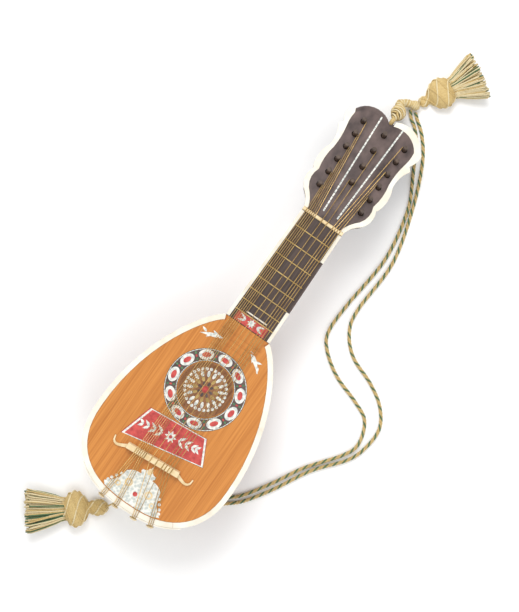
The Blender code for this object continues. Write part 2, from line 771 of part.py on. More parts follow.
def build_inlays():
    """Make the rosette ring, the sunk rose, the scratch plate, the tail plaque and the bindings."""
    centre = (0.0, -nut_to_rosette)
    ring = [circle(rosette_outer_radius, 48), circle(rosette_inner_radius, 48)]
    add_mesh("rosette_ring", plate_mesh("rosette_ring", ring, -rosette_thickness, 0), pearl,
             location=(*centre, 0))
    floor = -rose_sink - rose_floor
    profile = ((0, -rose_sink), (rose_field_radius, -rose_sink), (rose_radius - 0.0008, 0),
               (rose_radius, 0), (rose_radius, floor), (0, floor))
    add_mesh("rose", turned_mesh("rose", profile, 48), pearl, location=(*centre, 0))
    add_mesh("scratch_plate", plate_mesh("scratch_plate", [plate_outline()], -plate_thickness, 0), mastic)
    add_mesh("tail_plaque", plate_mesh("tail_plaque", [plaque_outline()], -plate_thickness, 0), pearl)

    side = body_side()
    side[0] = (side[0][0], -nut_to_joint - seat_gap)
    whole = side + mirrored(side)[1:]
    inner = beside(whole, -body_binding_width)
    seam = outline_steps + binding_seam_step
    nudge = (Vector(whole[seam + 1]) - Vector(whole[seam])).normalized() * seat_gap
    right = whole[:seam + 1] + inner[:seam + 1][::-1]
    start_outer = tuple(Vector(whole[seam]) + nudge)
    start_inner = tuple(Vector(inner[seam]) + nudge)
    left = [start_outer] + whole[seam + 1:] + inner[seam + 1:][::-1] + [start_inner]
    for name, loop in (("body_binding_right", right), ("body_binding_left", left)):
        add_mesh(name, plate_mesh(name, [loop], -body_binding_thickness, 0), ivory)


def build_brace():
    """Make the bar glued across under the soundboard, between the rosette and the bridge."""
    half = half_width_at(-brace_station) - rib_thickness - 0.0015
    top = -soundboard_thickness - seat_gap
    end = brace_height * 0.35
    rings = []
    for x, height in ((-half, end), (-half * 0.8, brace_height), (half * 0.8, brace_height), (half, end)):
        rings.append([(x, -brace_station - brace_width / 2, top), (x, -brace_station + brace_width / 2, top),
                      (x, -brace_station + brace_width / 2, top - height),
                      (x, -brace_station - brace_width / 2, top - height)])
    add_mesh("soundboard_brace", ring_loft("soundboard_brace", rings), spruce)


def build_neck():
    """Make the round-backed neck, whose top end leans with the head."""
    top = -fingerboard_thickness - seat_gap
    joint_depth = heel_depth + rim_drop + top
    nut_depth = neck_depth_at_nut
    rings = []
    stations = [nut_half_length + seat_gap, -nut_half_length * 2, -0.03, -0.07, -0.11, -0.14, -nut_to_joint]
    for i, y in enumerate(stations):
        share = min(1.0, max(0.0, -y / nut_to_joint))
        half = nut_width / 2 + (joint_half_width - nut_width / 2) * share
        depth = nut_depth + (joint_depth - nut_depth) * share ** 2
        ring = []
        for k in range(rib_count + 1):
            angle = math.pi * k / rib_count
            z = top - depth * math.sin(angle)
            lean = (z + head_drop) * math.tan(head_tilt) if i == 0 else 0
            ring.append((-half * math.cos(angle), y + lean, z))
        rings.append(ring)
    add_mesh("neck", ring_loft("neck", rings), walnut)


def build_fingerboard():
    """Make the fingerboard with its frets and the gap where the edge strip is lost."""
    start = -nut_half_length - seat_gap
    half_start = nut_width / 2
    outline = [(half_start, start), (joint_half_width, -nut_to_joint),
               (-joint_half_width, -nut_to_joint), (-half_start, start)]
    board = add_mesh("fingerboard", plate_mesh("fingerboard", [outline], -fingerboard_thickness, 0), ebony)
    inner = nut_width / 2 - edge_binding_width
    gap = box_mesh("gap", (inner, -lost_edge_end, -fingerboard_thickness * 0.7),
                   (joint_half_width + 0.002, -lost_edge_start, 0.001))
    cut(board, add_mesh("lost_edge", gap, None, collection=cutters))
    frets = []
    for number in range(1, fret_count + 1):
        y = -fret_station(number)
        half = inner + (joint_half_width - half_start) * fret_station(number) / nut_to_joint - 0.0004
        frets.append(box_mesh("fret", (-half, y - fret_width / 2, -0.001),
                              (half, y + fret_width / 2, fret_height)))
    cut(board, add_mesh("frets", joined_mesh("frets", frets), None, collection=cutters), "UNION")


def string_table():
    """Return one entry for each string: nut x, bridge x, peg row, peg number, side, pin and slot."""
    table = []
    for i in range(left_strings):
        nut_x = left_nut_x + i * left_string_pitch
        bridge_x = left_bridge_x + i * left_string_pitch
        table.append((nut_x, bridge_x, "left", left_strings - i, 1, i // 3, i % 3 - 1))
    table.append((middle_nut_x[0], middle_bridge_x[0], "middle", 4, -1, 2, -1))
    table.append((middle_nut_x[1], middle_bridge_x[1], "middle", 2, 1, 2, 0))
    for i, peg_number in enumerate((1, 3, 4, 5)):
        nut_x = right_nut_x + i * right_nut_pitch
        bridge_x = right_bridge_x + i * right_bridge_pitch
        pin, slot = ((2, 1), (3, -1), (3, 0), (3, 1))[i]
        table.append((nut_x, bridge_x, "right", peg_number, -1, pin, slot))
    return table


def peg_place(row, number):
    """Return a peg's place in the head's plane. Number 1 is farthest from the nut."""
    offset = {"left": -peg_row_offset, "middle": 0.0, "right": peg_row_offset}[row]
    pitch = middle_peg_pitch if row == "middle" else outer_peg_pitch
    return peg_group_offset + offset, peg_first_station - (number - 1) * pitch


def bridge_line_y(x):
    """Return where the bridge's centre line lies at x."""
    return -nut_to_bridge + (x - bridge_centre_x) * math.tan(bridge_turn)


def build_nut():
    """Make the grooved nut, seated on the neck between fingerboard and head."""
    low = -fingerboard_thickness
    half = nut_length / 2
    round_off = 0.0010
    section = [(-half, low), (half, low), (half, nut_height - round_off), (half - round_off, nut_height),
               (-half + round_off, nut_height), (-half, nut_height - round_off)]
    rings = [[(x, y, z) for y, z in section] for x in (-nut_width / 2, nut_width / 2)]
    nut = add_mesh("nut", ring_loft("nut", rings), bone)
    lie_flat = Matrix.Rotation(math.pi / 2, 4, "X")
    height = nut_height - groove_depth + groove_radius
    grooves = [cylinder_mesh("groove", groove_radius, -0.01, 0.01, 8, Matrix.Translation((row[0], 0, height))
                             @ lie_flat @ Matrix.Rotation(math.pi / 8, 4, "Z")) for row in string_table()]
    cut(nut, add_mesh("nut_grooves", joined_mesh("grooves", grooves), None, collection=cutters))


def scroll_outline(direction):
    """Return the outline of one curled end of the bridge, which tapers along its path."""
    start = Vector((bridge_length / 2 - 0.003, 0.0))
    path = [start] + [start + Vector((0.003, 0)) + Vector(point) for point in scroll_path[1:]]
    route = [Vector(p[:2]) for p in smooth_route([(*p, 0) for p in path], 0.0030)]
    left = []
    right = []
    for i, point in enumerate(route):
        along = (route[min(i + 1, len(route) - 1)] - route[max(i - 1, 0)]).normalized()
        share = i / (len(route) - 1)
        half = (scroll_start_width + (scroll_end_width - scroll_start_width) * share) / 2
        side = Vector((-along.y, along.x)) * half
        left.append(((point + side).x * direction, (point + side).y))
        right.append(((point - side).x * direction, (point - side).y))
    return left + right[::-1]


def build_bridge():
    """Make the floating bridge: a grooved bar between two curled feet."""
    half_base = bridge_base_width / 2
    half_top = bridge_top_width / 2
    low = seat_gap
    high = bridge_top
    rings = []
    for x in (-bridge_length / 2, bridge_length / 2):
        rings.append([(x, -half_base, low), (x, half_base, low), (x, half_base, low + 0.002),
                      (x, half_top, high), (x, -half_top, high), (x, -half_base, low + 0.002)])
    bridge = add_mesh("bridge", ring_loft("bridge", rings), bone,
                      location=(bridge_centre_x, -nut_to_bridge, 0), rotation=(0, 0, bridge_turn))
    feet = [plate_mesh("scroll", [scroll_outline(side)], low, low + scroll_height) for side in (-1, 1)]
    for name, mesh in zip(("scroll_left", "scroll_right"), feet):
        tool = add_mesh(name, mesh, None, collection=cutters,
                        location=(bridge_centre_x, -nut_to_bridge, 0), rotation=(0, 0, bridge_turn))
        cut(bridge, tool, "UNION")
    lie_flat = Matrix.Rotation(math.pi / 2, 4, "X") @ Matrix.Rotation(math.pi / 8, 4, "Z")
    height = high - groove_depth + groove_radius
    grooves = [cylinder_mesh("groove", groove_radius, -0.012, 0.012, 8,
                             Matrix.Translation((row[1], bridge_line_y(row[1]), height)) @ lie_flat)
               for row in string_table()]
    cut(bridge, add_mesh("bridge_grooves", joined_mesh("grooves", grooves), None, collection=cutters))


def arc_chain(corners, end):
    """Return a path through corners that each give x, y, the bulge that follows and its steps."""
    path = []
    ends = [corner[:2] for corner in corners[1:]] + [end]
    for (x, y, bulge, steps), following in zip(corners, ends):
        path += arc((x, y), following, bulge, steps)
    return path + [end]


def build_head():
    """Make the head, bored for the pegs, and the binding strips let into its edge."""
    side = arc_chain(head_corners, (0.0, head_notch))
    edge = arc_chain(head_inner_corners, (0.0, head_inner_notch))
    core = beside(side, head_lip)
    core[0] = (core[0][0], 0.0)
    core[-1] = (0.0, head_notch - head_lip * 1.6)
    outline = core + mirrored(core)[1:]
    head = add_mesh("head", plate_mesh("head", [outline], -head_thickness, 0), veneer, head_frame)
    inner = lengthened(beside(edge, seat_gap), 0.002)
    outside = lengthened(beside(side, -0.003), 0.002)
    outside[-1] = (0.0, head_notch + 0.003)
    inner[-1] = (0.0, head_inner_notch - seat_gap * 3)
    band = outside + mirrored(outside)[1:] + list(reversed(inner + mirrored(inner)[1:]))
    low = -head_binding_thickness - seat_gap
    cut(head, add_mesh("head_rebate", plate_mesh("head_rebate", [band], low, 0.002), None, head_frame,
                       cutters))
    bores = []
    for row, number in peg_names():
        spot = Matrix.Translation((*peg_place(row, number), 0))
        bores.append(cylinder_mesh("bore", peg_shank_radius + bore_gap, -0.02, 0.01, 16, spot))
    cut(head, add_mesh("peg_bores", joined_mesh("bores", bores), None, head_frame, cutters))

    right = side[:-1] + edge[:-1][::-1]
    lobe_start = sum(corner[3] for corner in head_corners[:-1])
    inner_start = sum(corner[3] for corner in head_inner_corners[:-1])
    left = [(-x, y) for x, y in side[:lobe_start + 1] + edge[:inner_start + 1][::-1]]
    for name, loop in (("head_binding_right", right), ("head_binding_left", left)):
        add_mesh(name, plate_mesh(name, [loop], -head_binding_thickness, 0), ivory, head_frame)


def peg_names():
    """Return every peg as its row and its number."""
    rows = (("left", outer_peg_count), ("middle", middle_peg_count), ("right", outer_peg_count))
    return [(row, number) for row, count in rows for number in range(1, count + 1)]


def build_pegs():
    """Make the pegs, each turning on its own axis square to the head."""
    collar = -knob_depth + peg_knob_radius
    profile = ((0, peg_post_height), (peg_post_radius - 0.0006, peg_post_height),
               (peg_post_radius, peg_post_height - 0.0008), (peg_post_radius, 0.0),
               (peg_shank_radius, -head_thickness), (peg_shank_radius, collar + 0.0035),
               (peg_collar_radius, collar + 0.0025), (peg_collar_radius, collar), (0, collar - 0.003))
    blank = add_mesh("peg_blank", turned_mesh("peg", profile, 12), None, None, cutters)
    knob_turn = Matrix.Rotation(math.pi / 2, 4, "X")
    knob_spot = Matrix.Translation((0, 0, -knob_depth)) @ knob_turn
    half = peg_knob_thickness / 2
    knob = add_mesh("peg_knob", cylinder_mesh("knob", peg_knob_radius, -half, half, 20, knob_spot), None,
                    None, cutters)
    edge = knob.modifiers.new("edge", "BEVEL")
    edge.width = peg_knob_bevel
    edge.segments = 1
    cut(blank, knob, "UNION")
    bpy.context.view_layer.update()
    mesh = baked(blank)
    mesh.materials.clear()
    mesh.materials.append(peg_wood)
    for row, number in peg_names():
        peg = bpy.data.objects.new("peg_%s_%d" % (row, number), mesh)
        parts.objects.link(peg)
        place(peg, head_frame, (*peg_place(row, number), 0))


def pin_frame(index):
    """Return a hitch pin's place on the cap and the way it points, outwards from the tail."""
    point, outward = tail_point(pin_stations[index])
    seat = point + outward * (seat_gap + tail_cap_thickness)
    seat.z = -rim_drop - pin_drop
    return seat, outward


def build_pins():
    """Make the hitch pins at the tail."""
    inner = -tail_cap_thickness - pin_depth
    outer = pin_neck_length
    profile = ((0, outer + pin_head_thickness), (pin_head_radius * 0.6, outer + pin_head_thickness),
               (pin_head_radius, outer + pin_head_thickness * 0.4), (pin_head_radius, outer + 0.0004),
               (pin_head_radius - 0.0006, outer), (pin_shank_radius, outer), (pin_shank_radius, inner),
               (0, inner))
    mesh = turned_mesh("pin", profile, 16)
    mesh.materials.append(bone)
    for index in range(len(pin_stations)):
        seat, outward = pin_frame(index)
        pin = bpy.data.objects.new("hitch_pin_%d" % (index + 1), mesh)
        parts.objects.link(pin)
        place(pin, instrument, seat, outward.to_track_quat("Z", "Y").to_euler())


def pin_bore_tool():
    """Return the cutter that bores the tail for the hitch pins."""
    bores = []
    for index in range(len(pin_stations)):
        seat, outward = pin_frame(index)
        spot = Matrix.Translation(seat) @ outward.to_track_quat("Z", "Y").to_matrix().to_4x4()
        bores.append(cylinder_mesh("bore", pin_shank_radius + bore_gap, -tail_cap_thickness - pin_depth
                                   - seat_gap, 0.004, 16, spot))
    return add_mesh("pin_bores", joined_mesh("pin_bores", bores), None, collection=cutters)


def build_strings():
    """Make each string from its hitch pin over the rim, the bridge and the nut to its peg."""
    clear = string_radius + seat_gap
    cap_out = seat_gap + tail_cap_thickness
    nut_z = nut_height - groove_depth + clear
    bridge_z = bridge_top - groove_depth + clear
    tilt = Matrix.Rotation(-head_tilt, 3, "X")
    for number, (nut_x, bridge_x, row, peg, side, pin, slot) in enumerate(string_table(), 1):
        seat, outward = pin_frame(pin)
        turn = slot * pin_string_spread
        hold = pin_shank_radius + clear
        across = Vector((-outward.y, outward.x, 0))
        end = seat + outward * (clear + 0.0002) + across * math.sin(turn) * hold
        end.z = seat.z + math.cos(turn) * hold
        rim_x = end.x - outward.x * 0.002
        rim, rim_out = tail_point(rim_x)
        points = [end]
        points.append(rim + rim_out * (cap_out + clear + 0.0002) + Vector((0, 0, -0.0022)))
        points.append(rim + rim_out * (cap_out + 0.0005) + Vector((0, 0, 0.0004)))
        points.append(rim + rim_out * (cap_out - 0.0009) + Vector((0, 0, clear + 0.0003)))
        points.append(rim - rim_out * 0.0010 + Vector((0, 0, clear + 0.0004)))
        line_y = bridge_line_y(bridge_x)
        points.append(Vector((bridge_x, line_y - bridge_top_width / 2, bridge_z)))
        points.append(Vector((bridge_x, line_y + bridge_top_width / 2, bridge_z)))
        points.append(Vector((nut_x, -nut_half_length + 0.0005, nut_z)))
        points.append(Vector((nut_x, nut_half_length - 0.0005, nut_z)))
        post_x, post_y = peg_place(row, peg)
        local = Vector((post_x + side * (peg_post_radius + clear), post_y, string_height_at_peg))
        points.append(Vector((0, head_start, -head_drop)) + tilt @ local)
        add_tube("string_%02d" % number, points, string_radius, gut, resolution=1)


def build_cord():
    """Make the two strands of the carrying cord and the knot that hangs them from the head."""
    drop = Vector((0, 0, -top_height))
    for name, route in (("cord_inner", cord_inner_route), ("cord_outer", cord_outer_route)):
        points = [point + drop for point in smooth_route(route, cord_point_spacing)]
        add_tube(name, points, cord_radius, cord_gold)
    points = [Vector(point[:3]) + drop for point in hanging_knot_path]
    rings = tube_rings(points, [point[3] for point in hanging_knot_path], 12)
    add_mesh("hanging_knot", ring_loft("hanging_knot", rings), cord_gold)


def build_tassels():
    """Make the two tassels, each with its origin on the upright line that it swings about."""
    forward = Vector((math.cos(top_tassel_turn), math.sin(top_tassel_turn), 0))
    points = []
    for along, radius in top_tassel_sections:
        lift = max(radius * tassel_flatness + floor_gap, 0.008 - along * 0.05)
        points.append(forward * along + Vector((0, 0, lift)))
    radii = [radius for _, radius in top_tassel_sections]
    rings = tube_rings(points, radii, 16, tassel_flatness)
    add_mesh("tassel_top", ring_loft("tassel_top", rings), cord_gold,
             location=(*junction_place, -top_height))

    seat, outward = pin_frame(1)
    hinge = seat + outward * (seat_gap + tail_thread_radius)
    top_z = seat.z - pin_shank_radius - seat_gap
    hinge.z = -top_height
    hang = top_z + top_height
    points = [Vector(point) + Vector((0, 0, hang)) for point in tail_thread_path]
    radii = [tail_thread_radius] * len(points)
    forward = Vector((math.cos(tail_tassel_turn), math.sin(tail_tassel_turn), 0))
    start = Vector((*tail_tassel_start, 0)) - Vector((hinge.x, hinge.y, 0))
    for along, radius in tail_tassel_sections:
        lift = max(radius * tassel_flatness + floor_gap, 0.0095 - along * 0.1)
        points.append(start + forward * along + Vector((0, 0, lift)))
        radii.append(radius)
    thread_count = len(tail_thread_path)
    rings = tube_rings(points, radii, 16, 1.0)
    flat = tube_rings(points, radii, 16, tassel_flatness)
    rings = rings[:thread_count] + flat[thread_count:]
    add_mesh("tassel_tail", ring_loft("tassel_tail", rings), cord_gold, location=hinge)


bores = pin_bore_tool()
build_ribs()
build_tail_block(bores)
build_tail_cap(bores)
build_neck_block()
build_soundboard()
build_inlays()
build_brace()
build_neck()
build_fingerboard()
build_nut()
build_bridge()
build_head()
build_pegs()
build_pins()
build_strings()
build_cord()
build_tassels()
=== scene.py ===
"""The looks of a bowl-backed mandola: its woods, inlay, strings, carrying cord and tassels."""
import logging
import math
import random
from dataclasses import dataclass, field
from enum import Enum

import bmesh
import bpy
from mathutils import Matrix, Vector


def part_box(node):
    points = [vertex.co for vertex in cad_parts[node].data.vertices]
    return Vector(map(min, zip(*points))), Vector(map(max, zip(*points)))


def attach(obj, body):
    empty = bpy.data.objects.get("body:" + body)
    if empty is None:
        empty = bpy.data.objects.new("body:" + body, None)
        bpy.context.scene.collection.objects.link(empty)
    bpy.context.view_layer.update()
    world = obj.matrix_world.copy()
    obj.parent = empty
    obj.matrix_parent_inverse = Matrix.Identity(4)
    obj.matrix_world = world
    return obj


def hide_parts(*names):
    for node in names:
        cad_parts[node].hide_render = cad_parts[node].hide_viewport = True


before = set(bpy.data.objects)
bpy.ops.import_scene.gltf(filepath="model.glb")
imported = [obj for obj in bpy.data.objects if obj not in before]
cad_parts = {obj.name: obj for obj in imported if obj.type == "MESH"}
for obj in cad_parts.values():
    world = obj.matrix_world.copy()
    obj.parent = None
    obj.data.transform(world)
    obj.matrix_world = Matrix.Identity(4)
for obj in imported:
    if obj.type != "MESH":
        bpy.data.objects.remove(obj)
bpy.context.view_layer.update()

log = logging.getLogger("mandola")

Point = tuple[float, float]
Spot = tuple[float, float, float]
Colour = tuple[float, float, float]
Station = tuple[float, float]

BODY = "instrument"
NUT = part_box("nut")
NUT_Y = (NUT[0][1] + NUT[1][1]) / 2
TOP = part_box("tail_plaque")[1][2]
PROUD = 0.00015
SINK = 0.0004
LAYER = 0.00001
HEAD_TILT = math.radians(17.0)
HEAD_START = 0.0028
HEAD_DROP = 0.0020
ROSETTE_Y = -0.2568
FULL_TURN = 2 * math.pi
LEAST_SIDE = 1e-6
LEAST_GAP = 1e-9


class Figure(Enum):
    """The texture that varies a surface's colour, by its node."""

    CLOUD = "ShaderNodeTexNoise"
    CHIPS = "ShaderNodeTexVoronoi"

    @property
    def output(self) -> str:
        """Return the name of the texture's value socket."""
        return "Fac" if self is Figure.CLOUD else "Distance"


@dataclass
class FigureGroup:
    """The shared node group of one figure, which varies colour, gloss and relief together."""

    figure: Figure
    dark_until: float = 0.30
    light_from: float = 0.68
    glossier_by: float = -0.08
    duller_by: float = 0.10
    relief_height: float = 0.0004
    detail: float = 6.0

    def sockets(self, tree: bpy.types.NodeTree) -> None:
        """Give the group its inputs and outputs.

        Args:
            tree: The new group.
        """
        face = tree.interface
        face.new_socket(name="Place", in_out="INPUT", socket_type="NodeSocketVector")
        face.new_socket(name="Scale", in_out="INPUT", socket_type="NodeSocketVector")
        face.new_socket(name="Dark", in_out="INPUT", socket_type="NodeSocketColor")
        face.new_socket(name="Light", in_out="INPUT", socket_type="NodeSocketColor")
        face.new_socket(name="Gloss", in_out="INPUT", socket_type="NodeSocketFloat")
        face.new_socket(name="Relief", in_out="INPUT", socket_type="NodeSocketFloat")
        face.new_socket(name="Colour", in_out="OUTPUT", socket_type="NodeSocketColor")
        face.new_socket(name="Roughness", in_out="OUTPUT", socket_type="NodeSocketFloat")
        face.new_socket(name="Normal", in_out="OUTPUT", socket_type="NodeSocketVector")

    def build(self) -> bpy.types.NodeTree:
        """Make the group.

        Returns:
            A group that turns a place on the surface into a colour, a roughness and a normal.
        """
        tree = bpy.data.node_groups.new("figure_" + self.figure.name.lower(), "ShaderNodeTree")
        self.sockets(tree)
        link = tree.links.new
        given = tree.nodes.new("NodeGroupInput")
        result = tree.nodes.new("NodeGroupOutput")
        mapping = tree.nodes.new("ShaderNodeMapping")
        link(given.outputs["Place"], mapping.inputs["Vector"])
        link(given.outputs["Scale"], mapping.inputs["Scale"])
        pattern = tree.nodes.new(self.figure.value)
        pattern.inputs["Scale"].default_value = 1.0
        if self.figure is Figure.CLOUD:
            pattern.inputs["Detail"].default_value = self.detail
        link(mapping.outputs["Vector"], pattern.inputs["Vector"])
        value = pattern.outputs[self.figure.output]
        share = tree.nodes.new("ShaderNodeMapRange")
        share.inputs["From Min"].default_value = self.dark_until
        share.inputs["From Max"].default_value = self.light_from
        link(value, share.inputs["Value"])
        blend = tree.nodes.new("ShaderNodeMix")
        blend.data_type = "RGBA"
        colours = [socket for socket in blend.inputs if socket.type == "RGBA"]
        link(share.outputs["Result"], blend.inputs["Factor"])
        link(given.outputs["Dark"], colours[0])
        link(given.outputs["Light"], colours[1])
        mixed = next(socket for socket in blend.outputs if socket.type == "RGBA")
        link(mixed, result.inputs["Colour"])
        gloss = tree.nodes.new("ShaderNodeMapRange")
        gloss.inputs["To Min"].default_value = self.glossier_by
        gloss.inputs["To Max"].default_value = self.duller_by
        link(value, gloss.inputs["Value"])
        total = tree.nodes.new("ShaderNodeMath")
        link(given.outputs["Gloss"], total.inputs[0])
        link(gloss.outputs["Result"], total.inputs[1])
        link(total.outputs["Value"], result.inputs["Roughness"])
        bump = tree.nodes.new("ShaderNodeBump")
        bump.inputs["Distance"].default_value = self.relief_height
        link(given.outputs["Relief"], bump.inputs["Strength"])
        link(value, bump.inputs["Height"])
        link(bump.outputs["Normal"], result.inputs["Normal"])
        return tree


@dataclass(frozen=True)
class Finish:
    """One finish: two colours that a figure mixes, with its gloss and relief."""

    name: str
    light: Colour
    dark: Colour
    slot: str
    figure: Figure = Figure.CLOUD
    scale: Spot = (60.0, 60.0, 60.0)
    roughness: float = 0.4
    metallic: float = 0.0
    relief: float = 0.08

    def build(self, group: bpy.types.NodeTree) -> bpy.types.Material:
        """Make the material.

        Args:
            group: The shared group of this finish's figure.

        Returns:
            A Principled material whose colour, roughness and normal come from the group.
        """
        material = bpy.data.materials.new(self.name)
        material.use_nodes = True
        tree = material.node_tree
        shader = tree.nodes["Principled BSDF"]
        place = tree.nodes.new("ShaderNodeTexCoord")
        figure = tree.nodes.new("ShaderNodeGroup")
        figure.node_tree = group
        figure.inputs["Scale"].default_value = self.scale
        figure.inputs["Dark"].default_value = (*self.dark, 1.0)
        figure.inputs["Light"].default_value = (*self.light, 1.0)
        figure.inputs["Gloss"].default_value = self.roughness
        figure.inputs["Relief"].default_value = self.relief
        tree.links.new(place.outputs["Object"], figure.inputs["Place"])
        tree.links.new(figure.outputs["Colour"], shader.inputs["Base Color"])
        tree.links.new(figure.outputs["Roughness"], shader.inputs["Roughness"])
        tree.links.new(figure.outputs["Normal"], shader.inputs["Normal"])
        shader.inputs["Metallic"].default_value = self.metallic
        return material


SPRUCE = Finish("varnished_spruce", (0.60, 0.235, 0.045), (0.43, 0.145, 0.022), "spruce",
                scale=(520.0, 9.0, 60.0), roughness=0.32)
IVORY = Finish("ivory_binding", (0.86, 0.82, 0.72), (0.70, 0.64, 0.52), "ivory", scale=(45.0, 45.0, 45.0))
BONE = Finish("old_bone", (0.80, 0.66, 0.42), (0.62, 0.45, 0.22), "bone", scale=(90.0, 90.0, 90.0))
PEARL = Finish("pearl_shell", (0.80, 0.80, 0.73), (0.52, 0.56, 0.53), "pearl", Figure.CHIPS,
               (260.0, 260.0, 260.0), 0.22)
MASTIC = Finish("red_mastic", (0.62, 0.085, 0.07), (0.36, 0.035, 0.035), "mastic",
                scale=(150.0, 150.0, 150.0))
EBONY = Finish("fingerboard_ebony", (0.085, 0.055, 0.045), (0.035, 0.022, 0.018), "ebony",
               scale=(420.0, 14.0, 60.0))
VENEER = Finish("head_tortoise", (0.14, 0.095, 0.085), (0.050, 0.034, 0.032), "head_veneer",
                scale=(70.0, 40.0, 70.0), roughness=0.30)
WALNUT = Finish("bowl_walnut", (0.36, 0.17, 0.075), (0.17, 0.070, 0.030), "walnut",
                scale=(260.0, 8.0, 120.0), roughness=0.30)
PEG = Finish("peg_wood", (0.10, 0.065, 0.045), (0.035, 0.022, 0.016), "peg_wood",
             scale=(200.0, 200.0, 60.0))
STRING = Finish("brass_string", (0.66, 0.45, 0.17), (0.34, 0.20, 0.07), "string",
                scale=(300.0, 60.0, 300.0), roughness=0.30, metallic=0.85)
FRET = Finish("fret_brass", (0.72, 0.52, 0.22), (0.45, 0.30, 0.11), "string", roughness=0.32,
              metallic=0.9)
GREEN = Finish("green_chip", (0.10, 0.24, 0.10), (0.04, 0.12, 0.05), "mastic",
               scale=(150.0, 150.0, 150.0))
GOLD_YARN = Finish("gold_yarn", (0.66, 0.50, 0.22), (0.42, 0.28, 0.10), "cord",
                   scale=(900.0, 900.0, 900.0), roughness=0.72, relief=0.3)
PALE_YARN = Finish("pale_yarn", (0.76, 0.66, 0.42), (0.55, 0.44, 0.24), "cord",
                   scale=(900.0, 900.0, 900.0), roughness=0.75, relief=0.3)
GREEN_YARN = Finish("green_yarn", (0.11, 0.20, 0.09), (0.045, 0.09, 0.04), "cord",
                    scale=(900.0, 900.0, 900.0), roughness=0.75, relief=0.3)


@dataclass
class Workshop:
    """Makes each finish once and dresses pieces with it."""

    made: dict[str, bpy.types.Material] = field(default_factory=dict)
    groups: dict[Figure, bpy.types.NodeTree] = field(default_factory=dict)

    def material(self, finish: Finish) -> bpy.types.Material:
        """Return a finish's material.

        Args:
            finish: The finish that is wanted.

        Returns:
            Its material, made on first use with the shared group of its figure.
        """
        if finish.figure not in self.groups:
            self.groups[finish.figure] = FigureGroup(finish.figure).build()
        if finish.name not in self.made:
            self.made[finish.name] = finish.build(self.groups[finish.figure])
        return self.made[finish.name]

    def dress(self, node: str, finish: Finish) -> None:
        """Give a CAD node its finish.

        Args:
            node: The CAD node's name.
            finish: The finish that it takes.
        """
        for slot in bpy.data.objects[node].material_slots:
            slot.material = self.material(finish)

    def piece(self, name: str, bm: bmesh.types.BMesh, finishes: list[Finish], body: str = BODY,
              smooth: bool = False) -> bpy.types.Object:
        """Make a piece from a bmesh.

        Args:
            name: The piece's name.
            bm: The mesh, in the frame's own metres.
            finishes: One finish for each material index.
            body: The CAD body that the piece rides on.
            smooth: Whether its faces are shaded smooth.

        Returns:
            The piece, riding on its body.
        """
        bmesh.ops.recalc_face_normals(bm, faces=bm.faces)
        mesh = bpy.data.meshes.new(name)
        bm.to_mesh(mesh)
        bm.free()
        for finish in finishes:
            mesh.materials.append(self.material(finish))
        if smooth:
            mesh.shade_smooth()
        thing = bpy.data.objects.new(name, mesh)
        bpy.context.scene.collection.objects.link(thing)
        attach(thing, body)
        log.info("made %s with %d faces", name, len(mesh.polygons))
        return thing


def prism(bm: bmesh.types.BMesh, outline: list[Point], high: float, matrix: Matrix, index: int = 0) -> None:
    """Add a closed flat plate, with its under face sunk into what it lies on.

    Args:
        bm: The mesh that takes it.
        outline: The plate's corners in its own plane.
        high: The height of its top face.
        matrix: The plane's place in the frame.
        index: The material index.
    """
    base = bm.faces.new([bm.verts.new(matrix @ Vector((x, y, -SINK))) for x, y in outline])
    base.material_index = index
    made = bmesh.ops.extrude_face_region(bm, geom=[base])["geom"]
    raised = [part for part in made if isinstance(part, bmesh.types.BMVert)]
    bmesh.ops.translate(bm, vec=matrix.to_3x3() @ Vector((0, 0, high + SINK)), verts=raised)
    for vert in raised:
        for face in vert.link_faces:
            face.material_index = index


def turned(points: list[Point], place: Point, turn: float) -> list[Point]:
    """Return points turned about the origin and then moved.

    Args:
        points: The points.
        place: Where the origin goes.
        turn: The angle, anticlockwise.

    Returns:
        The new points.
    """
    cos, sin = math.cos(turn), math.sin(turn)
    return [(place[0] + u * cos - v * sin, place[1] + u * sin + v * cos) for u, v in points]


def oval(x: float, y: float, long: float, short: float, turn: float = 0.0, steps: int = 18) -> list[Point]:
    """Return an oval's points.

    Args:
        x: Its centre's x.
        y: Its centre's y.
        long: Its half axis along the turn.
        short: Its half axis across it.
        turn: The long axis's angle.
        steps: How many points it has.

    Returns:
        The points, anticlockwise.
    """
    angles = [FULL_TURN * k / steps for k in range(steps)]
    return turned([(long * math.cos(a), short * math.sin(a)) for a in angles], (x, y), turn)


def leaf(x: float, y: float, length: float, width: float, turn: float, bend: float = 0.3) -> list[Point]:
    """Return a leaf with a pointed tip.

    Args:
        x: The x of the point that it grows from.
        y: The y of the point that it grows from.
        length: Its length.
        width: Its greatest width.
        turn: The angle that it grows at.
        bend: How far its tip moves aside, as a share of its length.

    Returns:
        The leaf's outline.
    """
    steps = 8
    fullness = 0.7
    least_half = 0.00005
    left, right = [], []
    for k in range(steps + 1):
        t = k / steps
        half = width * math.sin(math.pi * t ** fullness) / 2 + least_half
        side = bend * length * t * t
        left.append((t * length, side + half))
        right.append((t * length, side - half))
    return turned(left + right[::-1], (x, y), turn)


